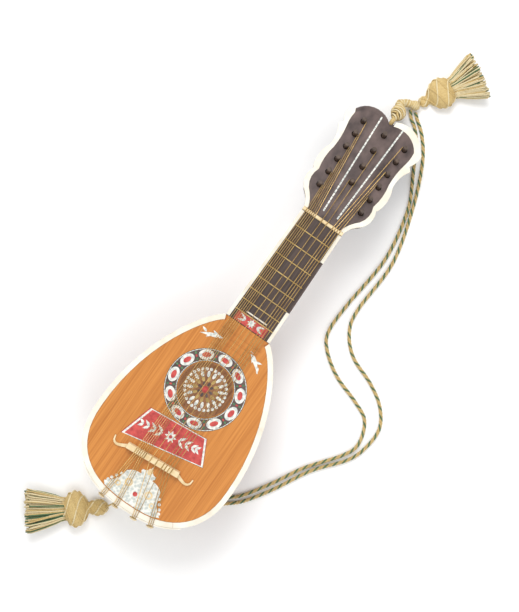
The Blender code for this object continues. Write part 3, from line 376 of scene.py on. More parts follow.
def smooth_route(route: list[Vector], spacing: float) -> list[Vector]:
    """Return evenly spaced points on a smooth curve.

    Args:
        route: The points that the curve goes through.
        spacing: The distance wanted between the points that come out.

    Returns:
        The points, ends included.
    """
    substeps = 24
    route = [2 * route[0] - route[1]] + route + [2 * route[-1] - route[-2]]
    fine = []
    for a, b, c, d in zip(route, route[1:], route[2:], route[3:]):
        for i in range(substeps):
            t = i / substeps
            fine.append(0.5 * (2 * b + (c - a) * t + (2 * a - 5 * b + 4 * c - d) * t ** 2
                               + (3 * b - a - 3 * c + d) * t ** 3))
    fine.append(route[-2])
    lengths = [0.0]
    for a, b in zip(fine, fine[1:]):
        lengths.append(lengths[-1] + (b - a).length)
    count = max(2, round(lengths[-1] / spacing))
    even, k = [], 0
    for i in range(count + 1):
        target = lengths[-1] * i / count
        while k < len(fine) - 2 and lengths[k + 1] < target:
            k += 1
        share = (target - lengths[k]) / max(lengths[k + 1] - lengths[k], LEAST_GAP)
        even.append(fine[k].lerp(fine[k + 1], min(share, 1.0)))
    return even


def loft(bm: bmesh.types.BMesh, rings: list[list[Vector]], index: int = 0) -> None:
    """Add a closed skin over rings.

    Args:
        bm: The mesh that takes it.
        rings: The rings in order, with the same number of points.
        index: The material index.
    """
    rows = [[bm.verts.new(point) for point in ring] for ring in rings]
    sides = len(rows[0])
    faces = [bm.faces.new(rows[0][::-1]), bm.faces.new(rows[-1])]
    for row, following in zip(rows, rows[1:]):
        for k in range(sides):
            j = (k + 1) % sides
            faces.append(bm.faces.new((row[k], row[j], following[j], following[k])))
    for face in faces:
        face.material_index = index


def tube(bm: bmesh.types.BMesh, points: list[Vector], radius: float, sides: int, index: int = 0) -> None:
    """Add a closed round tube along points.

    Args:
        bm: The mesh that takes it.
        points: The tube's centre line.
        radius: Its radius.
        sides: The sides of its section.
        index: The material index.
    """
    rings = []
    side = Vector((0, 0, 1)).cross(points[1] - points[0])
    if side.length < LEAST_SIDE:
        side = Vector((1, 0, 0))
    for i, point in enumerate(points):
        along = (points[min(i + 1, len(points) - 1)] - points[max(i - 1, 0)]).normalized()
        side = (side - along * side.dot(along)).normalized()
        up = along.cross(side)
        rings.append([point + (side * math.cos(FULL_TURN * k / sides)
                               + up * math.sin(FULL_TURN * k / sides)) * radius for k in range(sides)])
    loft(bm, rings, index)


def in_frame(points: tuple[Spot, ...]) -> list[Vector]:
    """Return places whose y is measured from the nut as places in the frame."""
    return [Vector((x, y + NUT_Y, z)) for x, y, z in points]


@dataclass
class Studio:
    """The camera, floor and lights."""

    picture_height: float = 0.765
    distance: float = 2.2
    turn: float = math.radians(34.89)
    centre: Point = (-0.0043, -0.1322)
    floor_half: float = 4.0
    floor_grey: float = 0.93
    floor_roughness: float = 0.9
    daylight: float = 0.75
    lamps: tuple[tuple[str, Spot, float, float], ...] = (
        ("key_light", (-0.9, 1.1, 1.9), 34.0, 1.2),
        ("fill_light", (1.2, -0.9, 1.8), 16.0, 1.6))

    def add(self, name: str, data: bpy.types.ID) -> bpy.types.Object:
        """Add an object to the scene.

        Args:
            name: The object's name.
            data: The mesh, lamp or camera that it holds.

        Returns:
            The object.
        """
        thing = bpy.data.objects.new(name, data)
        bpy.context.scene.collection.objects.link(thing)
        return thing

    def camera(self) -> None:
        """Set the camera straight above, turned as in the photograph."""
        data = bpy.data.cameras.new("camera")
        data.lens = data.sensor_width * self.distance / self.picture_height
        camera = self.add("camera", data)
        camera.location = (self.centre[0], NUT_Y + self.centre[1], TOP + self.distance)
        camera.rotation_euler = (0, 0, self.turn)
        bpy.context.scene.camera = camera

    def floor(self) -> None:
        """Lay a plain pale floor."""
        bm = bmesh.new()
        bmesh.ops.create_grid(bm, x_segments=1, y_segments=1, size=self.floor_half)
        mesh = bpy.data.meshes.new("floor")
        bm.to_mesh(mesh)
        bm.free()
        material = bpy.data.materials.new("floor_white")
        material.use_nodes = True
        shader = material.node_tree.nodes["Principled BSDF"]
        shader.inputs["Base Color"].default_value = (*[self.floor_grey] * 3, 1.0)
        shader.inputs["Roughness"].default_value = self.floor_roughness
        mesh.materials.append(material)
        self.add("floor", mesh)

    def lights(self) -> None:
        """Hang two soft lamps and set the daylight."""
        for name, spot, power, size in self.lamps:
            lamp = bpy.data.lights.new(name, "AREA")
            lamp.energy = power
            lamp.size = size
            light = self.add(name, lamp)
            light.location = spot
            light.rotation_euler = (-Vector(spot)).to_track_quat("-Z", "Y").to_euler()
        world = bpy.data.worlds.new("studio")
        world.use_nodes = True
        background = world.node_tree.nodes["Background"]
        background.inputs["Color"].default_value = (1.0, 1.0, 1.0, 1.0)
        background.inputs["Strength"].default_value = self.daylight
        bpy.context.scene.world = world
        bpy.context.scene.view_settings.view_transform = "Standard"

    def build(self) -> None:
        """Make the whole studio."""
        self.camera()
        self.floor()
        self.lights()


@dataclass
class CarryingCord:
    """Two laid strands that lie on the floor beside the neck."""

    shop: Workshop
    diameter: float = 0.005
    lay: float = 0.013
    step: float = 0.0016
    yarns: int = 3
    yarn_sides: int = 6
    yarn_offset_share: float = 0.27
    yarn_radius_share: float = 0.225
    upright: float = 0.15
    inner: tuple[Spot, ...] = (
        (0.0108, 0.1891, 0.0058), (0.0180, 0.1810, 0.0029), (0.0283, 0.1739, 0.0029),
        (0.0406, 0.1596, 0.0029), (0.0612, 0.1237, 0.0029), (0.0830, 0.0795, 0.0029),
        (0.0952, 0.0109, 0.0029), (0.0887, -0.0650, 0.0029), (0.0883, -0.1070, 0.0029),
        (0.1002, -0.1284, 0.0029), (0.1298, -0.1494, 0.0029), (0.1693, -0.1635, 0.0029),
        (0.1933, -0.1764, 0.0029), (0.2040, -0.2048, 0.0029), (0.1965, -0.2285, 0.0029),
        (0.1640, -0.2715, 0.0029), (0.1415, -0.3115, 0.0029), (0.1185, -0.3470, 0.0029),
        (0.0985, -0.3655, 0.0029), (0.0760, -0.3860, 0.0029), (0.0520, -0.4100, 0.0029),
        (0.0290, -0.4300, 0.0040), (0.0195, -0.4395, 0.0160), (0.0176, -0.4413, 0.0400),
        (0.0176, -0.4413, 0.0728))
    outer: tuple[Spot, ...] = (
        (0.0182, 0.1899, 0.0058), (0.0270, 0.1830, 0.0029), (0.0424, 0.1704, 0.0029),
        (0.0627, 0.1429, 0.0029), (0.0862, 0.0878, 0.0029), (0.1060, 0.0125, 0.0029),
        (0.1036, -0.0607, 0.0029), (0.1102, -0.0917, 0.0029), (0.1338, -0.1169, 0.0029),
        (0.1713, -0.1323, 0.0029), (0.1981, -0.1493, 0.0029), (0.2149, -0.1734, 0.0029),
        (0.2148, -0.2032, 0.0029), (0.2045, -0.2310, 0.0029), (0.1730, -0.2705, 0.0029),
        (0.1465, -0.3185, 0.0029), (0.1235, -0.3530, 0.0029), (0.1035, -0.3715, 0.0029),
        (0.0830, -0.3920, 0.0029), (0.0640, -0.4110, 0.0040), (0.0480, -0.4320, 0.0160),
        (0.0422, -0.4374, 0.0400), (0.0417, -0.4382, 0.0728))

    def yarn(self, path: list[Vector], phase: float) -> list[Vector]:
        """Return one yarn's centre line, laid round the cord's path.

        Args:
            path: The cord's centre line.
            phase: The yarn's starting angle.

        Returns:
            The yarn's points.
        """
        points = []
        for i, point in enumerate(path):
            along = (path[min(i + 1, len(path) - 1)] - path[max(i - 1, 0)]).normalized()
            side = along.cross(Vector((0, 0, 1)))
            if side.length < self.upright:
                side = along.cross(Vector((0, -1, 0)))
            side.normalize()
            up = side.cross(along)
            angle = phase + FULL_TURN * i * self.step / self.lay
            points.append(point + (side * math.cos(angle) + up * math.sin(angle))
                          * self.diameter * self.yarn_offset_share)
        return points

    def build(self) -> None:
        """Make both strands and hide the CAD cords that they stand for."""
        for name, route in (("inner", self.inner), ("outer", self.outer)):
            path = smooth_route(in_frame(route), self.step)
            bm = bmesh.new()
            for k in range(self.yarns):
                tube(bm, self.yarn(path, FULL_TURN * k / self.yarns), self.diameter * self.yarn_radius_share,
                     self.yarn_sides, 1 if k == 0 else 0)
            piece = self.shop.piece("laid_cord_" + name, bm, [GOLD_YARN, GREEN_YARN], smooth=True)
            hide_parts("cord_" + name)


@dataclass
class HangingKnot:
    """The wound knot between the head's notch and the cord."""

    shop: Workshop
    yarns: int = 4
    yarn_radius: float = 0.0013
    yarn_points: int = 260
    yarn_sides: int = 5
    quarter: float = 1.57
    wind: float = 4.2
    side_from: Spot = (0.3, 0.0, 1.0)
    bury: float = 0.0010
    least_radius: float = 0.0005
    core_radius: float = 0.0030
    core_sides: int = 8
    stations: tuple[tuple[float, float, float, float], ...] = (
        (0.0000, 0.1538, 0.0370, 0.0014), (0.0000, 0.1610, 0.0362, 0.0020),
        (0.0002, 0.1680, 0.0325, 0.0070), (0.0002, 0.1735, 0.0270, 0.0100),
        (-0.0010, 0.1785, 0.0215, 0.0088), (-0.0036, 0.1822, 0.0175, 0.0056),
        (-0.0044, 0.1868, 0.0135, 0.0062), (-0.0018, 0.1908, 0.0110, 0.0050),
        (0.0032, 0.1940, 0.0095, 0.0054), (0.0072, 0.1957, 0.0085, 0.0044),
        (0.0095, 0.1963, 0.0080, 0.0056), (0.0125, 0.1970, 0.0080, 0.0065),
        (0.0155, 0.1977, 0.0080, 0.0056), (0.0180, 0.1983, 0.0080, 0.0030))

    def yarn(self, centres: list[Vector], phase: float) -> list[Vector]:
        """Return one yarn's centre line, wound round the knot.

        Args:
            centres: The knot's middle at each station.
            phase: The yarn's starting angle.

        Returns:
            The yarn's points.
        """
        radii = [station[3] for station in self.stations]
        points = []
        for i in range(self.yarn_points):
            place = (len(centres) - 1) * i / (self.yarn_points - 1)
            k = min(int(place), len(centres) - 2)
            radius = radii[k] + (radii[k + 1] - radii[k]) * (place - k) - self.bury
            along = (centres[k + 1] - centres[k]).normalized()
            side = along.cross(Vector(self.side_from)).normalized()
            up = side.cross(along)
            angle = phase + place * self.wind
            points.append(centres[k].lerp(centres[k + 1], place - k)
                          + (side * math.cos(angle) + up * math.sin(angle)) * max(radius, self.least_radius))
        return points

    def build(self) -> None:
        """Wind the yarns round the knot's core."""
        bm = bmesh.new()
        centres = in_frame(tuple(station[:3] for station in self.stations))
        for k in range(self.yarns):
            tube(bm, self.yarn(centres, self.quarter * k), self.yarn_radius, self.yarn_sides, k % 2)
        tube(bm, centres, self.core_radius, self.core_sides)
        piece = self.shop.piece("wound_knot", bm, [GOLD_YARN, PALE_YARN], smooth=True)
        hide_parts("hanging_knot")


@dataclass
class Tassel:
    """A tassel that lies on the floor: wound beads, a netted head and a skirt of yarn ends."""

    shop: Workshop
    name: str
    node: str
    body: str
    start: Point
    turn: float
    stations: tuple[Station, ...]
    skirt_from: float
    seed: int
    lead: tuple[Spot, ...] = ()
    flatness: float = 0.55
    floor_gap: float = 0.0006
    net_yarns: tuple[tuple[float, int], ...] = ((0.0, 1), (1.1, -1), (2.1, 1), (3.2, -1), (4.2, 1), (5.2, -1))
    net_points: int = 150
    net_sides: int = 5
    net_radius: float = 0.0011
    net_bury: float = 0.0012
    net_overrun: float = 0.004
    net_wind: float = 150.0
    core_rings: int = 40
    core_sides: int = 20
    core_bury: float = 0.0016
    core_overrun: float = 0.002
    ends: int = 460
    end_points: int = 9
    end_sides: int = 4
    end_radius: float = 0.0009
    end_bury: float = 0.0012
    end_shortening: float = 0.009
    end_sway: float = 0.0012
    sway_waves: float = 3.0
    least_share: float = 0.02
    green_until: float = 0.22
    gold_until: float = 0.45
    lead_spacing: float = 0.003
    lead_sides: int = 6

    def radius_at(self, along: float) -> float:
        """Return the tassel's half width.

        Args:
            along: The distance along the tassel.

        Returns:
            The half width there, or the last one past the end.
        """
        for (a, ra), (b, rb) in zip(self.stations, self.stations[1:]):
            if a <= along <= b:
                return ra + (rb - ra) * (along - a) / (b - a)
        return self.stations[-1][1]

    def spot(self, along: float, angle: float, radius: float, full: float, aside: float = 0.0) -> Vector:
        """Return a point on one of the tassel's flattened rings.

        Args:
            along: The distance along the tassel.
            angle: The angle round the ring.
            radius: The ring's half width.
            full: The tassel's own half width there, which sets the ring's height.
            aside: How far the point moves to the side.

        Returns:
            The point in the frame.
        """
        forward = Vector((math.cos(self.turn), math.sin(self.turn), 0))
        across = Vector((-forward.y, forward.x, 0))
        height = full * self.flatness + self.floor_gap + math.sin(angle) * radius * self.flatness
        origin = Vector((self.start[0], self.start[1] + NUT_Y, 0))
        return (origin + forward * along + across * (math.cos(angle) * radius + aside)
                + Vector((0, 0, height)))

    def net(self, bm: bmesh.types.BMesh) -> None:
        """Wind the net's yarns both ways round the beads and the head.

        Args:
            bm: The mesh that takes them.
        """
        begin = self.stations[0][0]
        for phase, wind in self.net_yarns:
            points = []
            for i in range(self.net_points):
                along = begin + (self.skirt_from + self.net_overrun - begin) * i / (self.net_points - 1)
                radius = self.radius_at(along) - self.net_bury
                angle = phase + wind * (along - begin) * self.net_wind
                points.append(self.spot(along, angle, radius, radius + self.net_bury))
            tube(bm, points, self.net_radius, self.net_sides, 0 if wind > 0 else 1)

    def core(self, bm: bmesh.types.BMesh) -> None:
        """Fill the net with the beads and the head.

        Args:
            bm: The mesh that takes them.
        """
        begin = self.stations[0][0]
        rings = []
        for i in range(self.core_rings):
            along = begin + (self.skirt_from + self.core_overrun - begin) * i / (self.core_rings - 1)
            radius = self.radius_at(along) - self.core_bury
            rings.append([self.spot(along, FULL_TURN * k / self.core_sides, radius, radius + self.core_bury)
                          for k in range(self.core_sides)])
        loft(bm, rings)

    def skirt(self, bm: bmesh.types.BMesh) -> None:
        """Hang the yarn ends, each with its own reach, sway and colour.

        Args:
            bm: The mesh that takes them.
        """
        rng = random.Random(self.seed)
        finish = self.stations[-1][0]
        for _ in range(self.ends):
            angle = rng.uniform(0, FULL_TURN)
            share = math.sqrt(rng.uniform(self.least_share, 1.0))
            reach = finish - rng.uniform(0.0, self.end_shortening)
            sway = rng.uniform(-self.end_sway, self.end_sway)
            points = []
            for i in range(self.end_points):
                t = i / (self.end_points - 1)
                along = self.skirt_from + (reach - self.skirt_from) * t
                full = self.radius_at(along)
                point = self.spot(along, angle, (full - self.end_bury) * share, full,
                                  sway * math.sin(self.sway_waves * t + angle))
                point.z = max(point.z, self.end_bury)
                points.append(point)
            pick = rng.random()
            colour = 2 if pick < self.green_until else (0 if pick < self.gold_until else 1)
            tube(bm, points, self.end_radius, self.end_sides, colour)

    def build(self) -> None:
        """Make the tassel, which stands for its CAD solid."""
        bm = bmesh.new()
        self.net(bm)
        self.core(bm)
        self.skirt(bm)
        if self.lead:
            lead = smooth_route(in_frame(self.lead), self.lead_spacing)
            tube(bm, lead, self.net_radius, self.lead_sides)
        piece = self.shop.piece(self.name, bm, [GOLD_YARN, PALE_YARN, GREEN_YARN], self.body, True)
        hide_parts(self.node)


@dataclass
class Rosette:
    """The ring of ovals round the sunk rose, and the rose's own mosaic."""

    shop: Workshop
    ovals: int = 11
    mid_radius: float = 0.0440
    oval_half: Point = (0.0098, 0.0066)
    eye_half: Point = (0.0056, 0.0032)
    eye_rise: float = 1.8
    chip_half: Point = (0.0019, 0.0012)
    chips: tuple[tuple[float, int], ...] = ((0.0400, 2), (0.0440, 1), (0.0480, 2))
    line_radii: Point = (0.0368, 0.0512)
    line_half_width: float = 0.0004
    dashes: int = 72
    dash_share: float = 0.9
    rose_sink: float = 0.0050
    scallops: int = 30
    scallop_ring: float = 0.0262
    scallop_radius: float = 0.0021
    scallop_top: float = 0.0004
    petal_top: float = 0.0003
    petals: tuple[tuple[float, float, float, int, int], ...] = (
        (0.0200, 0.0042, 0.0020, 16, 0), (0.0135, 0.0036, 0.0020, 12, 2), (0.0078, 0.0028, 0.0016, 8, 3))
    jewel_radius: float = 0.0042
    jewel_steps: int = 4
    jewel_rise: float = 0.0005
    jewel_angle: float = 0.36

    def around(self, radius: float, angle: float) -> Point:
        """Return the point at an angle on a circle round the rosette's middle."""
        return radius * math.cos(angle), ROSETTE_Y + radius * math.sin(angle)

    def ring(self) -> None:
        """Set white ovals with red eyes, chips between them, and fine ring lines."""
        bm = bmesh.new()
        plane = Matrix.Translation((0, NUT_Y, TOP))
        for k in range(self.ovals):
            a = math.pi / 2 + FULL_TURN * k / self.ovals
            place = self.around(self.mid_radius, a)
            prism(bm, oval(*place, *self.oval_half, a + math.pi / 2), PROUD, plane, 0)
            eye = oval(*place, *self.eye_half, a + math.pi / 2, steps=14)
            prism(bm, eye, PROUD * self.eye_rise, plane, 1)
            b = a + math.pi / self.ovals
            for radius, index in self.chips:
                prism(bm, oval(*self.around(radius, b), *self.chip_half, b, steps=6), PROUD, plane, index)
        half = self.line_half_width
        for radius in self.line_radii:
            for k in range(self.dashes):
                a, b = FULL_TURN * k / self.dashes, FULL_TURN * (k + self.dash_share) / self.dashes
                dash = [self.around(radius + d, t) for d, t in ((-half, a), (half, a), (half, b), (-half, b))]
                prism(bm, dash, PROUD, plane, 0)
        self.shop.piece("rosette_chips", bm, [PEARL, MASTIC, GREEN])

    def rose(self) -> None:
        """Set the sunk rose's scalloped rim, its petals and its centre jewel."""
        bm = bmesh.new()
        plane = Matrix.Translation((0, NUT_Y, TOP - self.rose_sink))
        for k in range(self.scallops):
            place = self.around(self.scallop_ring, FULL_TURN * k / self.scallops)
            scallop = oval(*place, self.scallop_radius, self.scallop_radius, steps=10)
            prism(bm, scallop, self.scallop_top, plane, 0)
        for ring, (radius, long, short, count, index) in enumerate(self.petals):
            for k in range(count):
                a = FULL_TURN * (k + 0.5 * (ring % 2)) / count
                petal = oval(*self.around(radius, a), long, short, a, steps=12)
                prism(bm, petal, self.petal_top, plane, index)
        for step in range(self.jewel_steps):
            radius = self.jewel_radius * math.cos(step * self.jewel_angle)
            jewel = oval(0, ROSETTE_Y, radius, radius, steps=20)
            prism(bm, jewel, self.jewel_rise * (1 + step), plane, 1)
        self.shop.piece("rose_mosaic", bm, [PEARL, MASTIC, FRET, VENEER])

    def build(self) -> None:
        """Make the ring and the rose."""
        self.ring()
        self.rose()


@dataclass
class SoundboardInlay:
    """The scratch plate's frame and leaves, the pearl sprigs and the tail plaque's roundels."""

    shop: Workshop
    corners: tuple[Point, ...] = ((-0.0420, -0.3142), (0.0366, -0.3066), (0.0530, -0.3388),
                                  (-0.0556, -0.3600))
    frame_share: float = 0.055
    left_reaches: tuple[float, ...] = (0.012, 0.021, 0.030, 0.038)
    right_reaches: tuple[float, ...] = (0.012, 0.021, 0.030, 0.035)
    leaf_length: float = 0.0105
    leaf_shrink: float = 0.0012
    leaf_width: float = 0.0036
    leaf_lean: float = 1.05
    leaf_bend: float = 0.35
    bud_radius: float = 0.0013
    bud_rise: float = 1.6
    petals: int = 8
    petal_size: Point = (0.0080, 0.0034)
    heart_radius: float = 0.0022
    heart_rise: float = 2.2
    sprigs: tuple[tuple[float, float, float, float], ...] = (
        (-0.0185, -0.1912, math.radians(193), 0.12), (0.0190, -0.1845, math.radians(-32), -0.12))
    sprig_size: Point = (0.0300, 0.0048)
    twig_size: Point = (0.0085, 0.0030)
    twig_shares: tuple[float, ...] = (0.25, 0.5, 0.75)
    twig_lean: float = 0.7
    twig_bend: float = 0.1
    twig_rise: float = 1.5
    plaque_x: float = 0.0025
    plaque_drop: float = 0.0012
    beads: tuple[Point, ...] = (
        (0.0082, -0.3835), (0.0098, -0.3895), (0.0160, -0.3935), (0.0230, -0.3965), (0.0285, -0.4010),
        (0.0325, -0.4065), (0.0360, -0.4120), (0.0385, -0.4165))
    bead_radius: float = 0.0020
    bead_rise: float = 1.6
    roundels: tuple[tuple[float, float, float], ...] = ((0.0150, -0.4060, 0.0052),
                                                        (0.0255, -0.4145, 0.0036))
    roundel_eye: float = 0.55
    knob_y: float = -0.3805
    knob_half: Point = (0.0034, 0.0046)
    gem_y: float = -0.4141
    gem_radius: float = 0.0030

    def plane(self) -> Matrix:
        """Return the soundboard's plane."""
        return Matrix.Translation((0, NUT_Y, TOP))

    def plate_frame(self, bm: bmesh.types.BMesh, corners: list[Vector], centre: Vector) -> None:
        """Set the white frame inside the plate's border.

        Args:
            bm: The mesh that takes it.
            corners: The frame's outer corners.
            centre: The plate's middle.
        """
        for a, b in zip(corners, corners[1:] + corners[:1]):
            inner_a, inner_b = a.lerp(centre, self.frame_share), b.lerp(centre, self.frame_share)
            prism(bm, [tuple(a), tuple(b), tuple(inner_b), tuple(inner_a)], PROUD, self.plane(), 0)

    def scratch_plate(self) -> None:
        """Set the frame, the scroll leaves and the middle flower on the red field."""
        bm = bmesh.new()
        plane = self.plane()
        corners = [Vector(corner) for corner in self.corners]
        centre = sum(corners, Vector((0, 0))) / 4
        self.plate_frame(bm, corners, centre)
        slope = math.atan2(corners[1].y - corners[0].y + corners[2].y - corners[3].y,
                           corners[1].x - corners[0].x + corners[2].x - corners[3].x)
        for side, reaches in ((-1, self.left_reaches), (1, self.right_reaches)):
            turn = slope if side > 0 else slope + math.pi
            for i, reach in enumerate(reaches):
                x, y = centre.x + side * reach, centre.y + side * reach * math.tan(slope)
                for lean in (-1, 1):
                    shape = leaf(x, y, self.leaf_length - self.leaf_shrink * i, self.leaf_width,
                                 turn + lean * self.leaf_lean, -self.leaf_bend * lean)
                    prism(bm, shape, PROUD, plane, 0)
                bud = oval(x, y, self.bud_radius, self.bud_radius, steps=10)
                prism(bm, bud, PROUD * self.bud_rise, plane, 0)
        for k in range(self.petals):
            petal = leaf(centre.x, centre.y, *self.petal_size, slope + FULL_TURN * k / self.petals, 0.0)
            prism(bm, petal, PROUD + LAYER * k, plane, 0)
        heart = oval(centre.x, centre.y, self.heart_radius, self.heart_radius, steps=14)
        prism(bm, heart, PROUD * self.heart_rise, plane, 1)
        self.shop.piece("scratch_plate_leaves", bm, [PEARL, MASTIC])

    def pearl_sprigs(self) -> None:
        """Set the pearl sprigs on both sides of the fret bars."""
        bm = bmesh.new()
        plane = self.plane()
        length = self.sprig_size[0]
        for x, y, turn, bend in self.sprigs:
            prism(bm, leaf(x, y, *self.sprig_size, turn, bend), PROUD, plane)
            for k, share in enumerate(self.twig_shares):
                px, py = x + math.cos(turn) * length * share, y + math.sin(turn) * length * share
                lean = turn + (self.twig_lean if k % 2 else -self.twig_lean)
                twig = leaf(px, py, *self.twig_size, lean, self.twig_bend)
                prism(bm, twig, PROUD * self.twig_rise, plane)
        self.shop.piece("pearl_sprigs", bm, [PEARL])

    def tail_plaque(self) -> None:
        """Set the tail plaque's brown roundels, its gem and its bead border."""
        bm = bmesh.new()
        plane = self.plane()
        x0 = self.plaque_x
        prism(bm, oval(x0, self.knob_y, *self.knob_half, steps=16), PROUD, plane, 1)
        prism(bm, oval(x0, self.gem_y, self.gem_radius, self.gem_radius, steps=16), PROUD * 3, plane, 2)
        for side in (-1, 1):
            for x, y in self.beads:
                place = (x0 + side * x, y - self.plaque_drop)
                bead = oval(*place, self.bead_radius, self.bead_radius, steps=12)
                prism(bm, bead, PROUD * self.bead_rise, plane, 0)
            for x, y, size in self.roundels:
                eye = size * self.roundel_eye
                prism(bm, oval(x0 + side * x, y, size, size), PROUD, plane, 1)
                prism(bm, oval(x0 + side * x, y, eye, eye, steps=14), PROUD * 2, plane, 0)
        self.shop.piece("plaque_roundels", bm, [PEARL, BONE, MASTIC])

    def build(self) -> None:
        """Make the inlay on both sides of the rosette."""
        self.scratch_plate()
        self.pearl_sprigs()
        self.tail_plaque()


@dataclass
class FingerboardTrim:
    """Brass frets, bone edge strips, the crossbar and the red block with its flower."""

    shop: Workshop
    scale_length: float = 0.406
    frets: int = 8
    fret_half_width: float = 0.00062
    fret_top: float = 0.00105
    half_at_nut: float = 0.0300
    half_at_joint: float = 0.03275
    joint: float = 0.164
    strip: float = 0.0042
    strip_gap: float = 0.0003
    strips: tuple[tuple[int, float, float], ...] = ((-1, -0.0027, -0.1635), (1, -0.0027, -0.0438),
                                                    (1, -0.1192, -0.1635))
    crossbar: tuple[float, float, float, float] = (-0.0137, 0.0174, -0.1475, -0.1458)
    block: tuple[float, float, float, float] = (-0.0225, 0.0225, -0.1632, -0.1495)
    flower_y: float = -0.1563
    petals: int = 8
    petal_size: Point = (0.0058, 0.0026)
    scroll_size: Point = (0.0105, 0.0030)
    scroll_x: float = 0.0085
    scroll_lean: float = 0.6
    scroll_bend: float = -0.3

    def half(self, y: float) -> float:
        """Return the fingerboard's half width at a station."""
        return self.half_at_nut + (self.half_at_joint - self.half_at_nut) * (-y / self.joint)

    def box(self, left: float, right: float, low: float, high: float) -> list[Point]:
        """Return the corners of a box in plan."""
        return [(left, low), (right, low), (right, high), (left, high)]

    def brass(self, plane: Matrix) -> None:
        """Cap the fret ridges with brass.

        Args:
            plane: The fingerboard's plane.
        """
        bm = bmesh.new()
        for number in range(1, self.frets + 1):
            y = -self.scale_length * (1 - 2 ** (-number / 12))
            half = self.half(y) - self.strip - self.strip_gap
            fret = self.box(-half, half, y - self.fret_half_width, y + self.fret_half_width)
            prism(bm, fret, self.fret_top, plane)
        self.shop.piece("brass_frets", bm, [FRET])

    def edges(self, plane: Matrix) -> None:
        """Set the edge strips, with the stretch that is lost left bare, and the crossbar.

        Args:
            plane: The fingerboard's plane.
        """
        bm = bmesh.new()
        for side, start, end in self.strips:
            a, b = self.half(start), self.half(end)
            prism(bm, [(side * a, start), (side * b, end), (side * (b - self.strip), end),
                       (side * (a - self.strip), start)], PROUD, plane)
        prism(bm, self.box(*self.crossbar), PROUD * 2, plane)
        self.shop.piece("bone_edges", bm, [IVORY])

    def flower_block(self, plane: Matrix) -> None:
        """Set the red block with its pearl flower and scrolls.

        Args:
            plane: The fingerboard's plane.
        """
        bm = bmesh.new()
        prism(bm, self.box(*self.block), PROUD, plane, 0)
        for k in range(self.petals):
            petal = leaf(0.0, self.flower_y, *self.petal_size, FULL_TURN * k / self.petals, 0.0)
            prism(bm, petal, PROUD * 2 + LAYER * k, plane, 1)
        for side in (-1, 1):
            for lean in (-self.scroll_lean, self.scroll_lean):
                turn = (0 if side > 0 else math.pi) + lean
                start = (side * self.scroll_x, self.flower_y)
                scroll = leaf(*start, *self.scroll_size, turn, self.scroll_bend * lean)
                prism(bm, scroll, PROUD * 2, plane, 1)
        self.shop.piece("flower_block", bm, [MASTIC, PEARL])

    def build(self) -> None:
        """Make the trim."""
        plane = Matrix.Translation((0, NUT_Y, TOP))
        self.brass(plane)
        self.edges(plane)
        self.flower_block(plane)


@dataclass
class HeadTrim:
    """The two pearl lines of the head."""

    shop: Workshop
    lines: tuple[tuple[Point, Point], ...] = (((-0.0068, 0.0085), (-0.0139, 0.1571)),
                                              ((0.0133, 0.0099), (0.0182, 0.1585)))
    end_inset: float = 0.004
    bars: int = 26
    bar_share: float = 0.88
    bar_half_width: float = 0.0010

    def build(self) -> None:
        """Make both lines from short pearl bars, in the head's own leaning plane."""
        place = Matrix.Translation((0, NUT_Y + HEAD_START, TOP - HEAD_DROP))
        place = place @ Matrix.Rotation(-HEAD_TILT, 4, "X")
        bm = bmesh.new()
        for (x, y), (end_x, end_y) in self.lines:
            start = Vector((x, y / math.cos(HEAD_TILT)))
            end = Vector((end_x, (end_y - self.end_inset) / math.cos(HEAD_TILT)))
            for i in range(self.bars):
                a = start.lerp(end, i / self.bars)
                b = start.lerp(end, (i + self.bar_share) / self.bars)
                out = Vector((-(b - a).y, (b - a).x)).normalized() * self.bar_half_width
                prism(bm, [tuple(a + out), tuple(a - out), tuple(b - out), tuple(b + out)], PROUD, place)
        self.shop.piece("head_pearl_lines", bm, [PEARL])


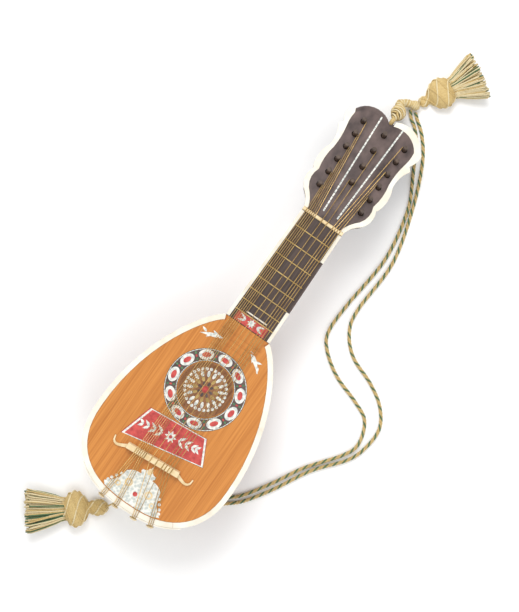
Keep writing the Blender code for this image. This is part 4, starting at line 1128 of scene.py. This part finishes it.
@dataclass
class Solids:
    """The finishes of the CAD nodes that stay in view."""

    shop: Workshop
    replaced: tuple[str, ...] = ("cord_inner", "cord_outer", "hanging_knot", "tassel_top", "tassel_tail")
    finishes: tuple[tuple[str, Finish], ...] = (
        ("soundboard", SPRUCE), ("rosette_ring", VENEER), ("rose", WALNUT), ("scratch_plate", MASTIC),
        ("tail_plaque", PEARL), ("fingerboard", EBONY), ("neck", WALNUT), ("tail_block", WALNUT),
        ("nut", BONE), ("bridge", BONE), ("head_binding", IVORY), ("head", VENEER), ("tail_cap", IVORY),
        ("ribs", WALNUT), ("peg", PEG), ("string", STRING), ("hitch", BONE), ("body_binding", IVORY))

    def build(self) -> None:
        """Dress each node by the first name in the list that it starts with."""
        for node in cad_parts:
            if node not in self.replaced:
                self.shop.dress(node, next(finish for name, finish in self.finishes if node.startswith(name)))


def main() -> None:
    """Build the studio and then every piece of the mandola, cords first."""
    logging.basicConfig(level=logging.INFO)
    shop = Workshop()
    Studio().build()
    CarryingCord(shop).build()
    HangingKnot(shop).build()
    Tassel(shop, "head_tassel", "tassel_top", "tassel_top_body", (0.0125, 0.1970), math.radians(59.5), (
        (0.0067, 0.0028), (0.0090, 0.0068), (0.0130, 0.0080), (0.0170, 0.0066), (0.0195, 0.0070),
        (0.0240, 0.0150), (0.0310, 0.0200), (0.0390, 0.0216), (0.0460, 0.0195), (0.0510, 0.0150),
        (0.0540, 0.0146), (0.0620, 0.0190), (0.0760, 0.0265), (0.0900, 0.0335), (0.0935, 0.0325)),
        0.0520, 11).build()
    Tassel(shop, "body_tassel", "tassel_tail", "tassel_tail_body", (-0.0165, -0.4593), math.radians(217.0), (
        (0.0000, 0.0030), (0.0025, 0.0075), (0.0075, 0.0108), (0.0130, 0.0116), (0.0185, 0.0104),
        (0.0235, 0.0082), (0.0260, 0.0090), (0.0300, 0.0180), (0.0360, 0.0235), (0.0420, 0.0248),
        (0.0490, 0.0220), (0.0540, 0.0162), (0.0570, 0.0152), (0.0660, 0.0195), (0.0820, 0.0250),
        (0.1020, 0.0310), (0.1060, 0.0300)), 0.0550, 23, (
        (-0.0102, -0.4400, 0.0765), (-0.0102, -0.4400, 0.0645), (-0.0114, -0.4430, 0.0465),
        (-0.0136, -0.4490, 0.0265), (-0.0158, -0.4550, 0.0120), (-0.0185, -0.4610, 0.0075))).build()
    Rosette(shop).build()
    SoundboardInlay(shop).build()
    FingerboardTrim(shop).build()
    HeadTrim(shop).build()
    Solids(shop).build()


if __name__ == "__main__":
    main()
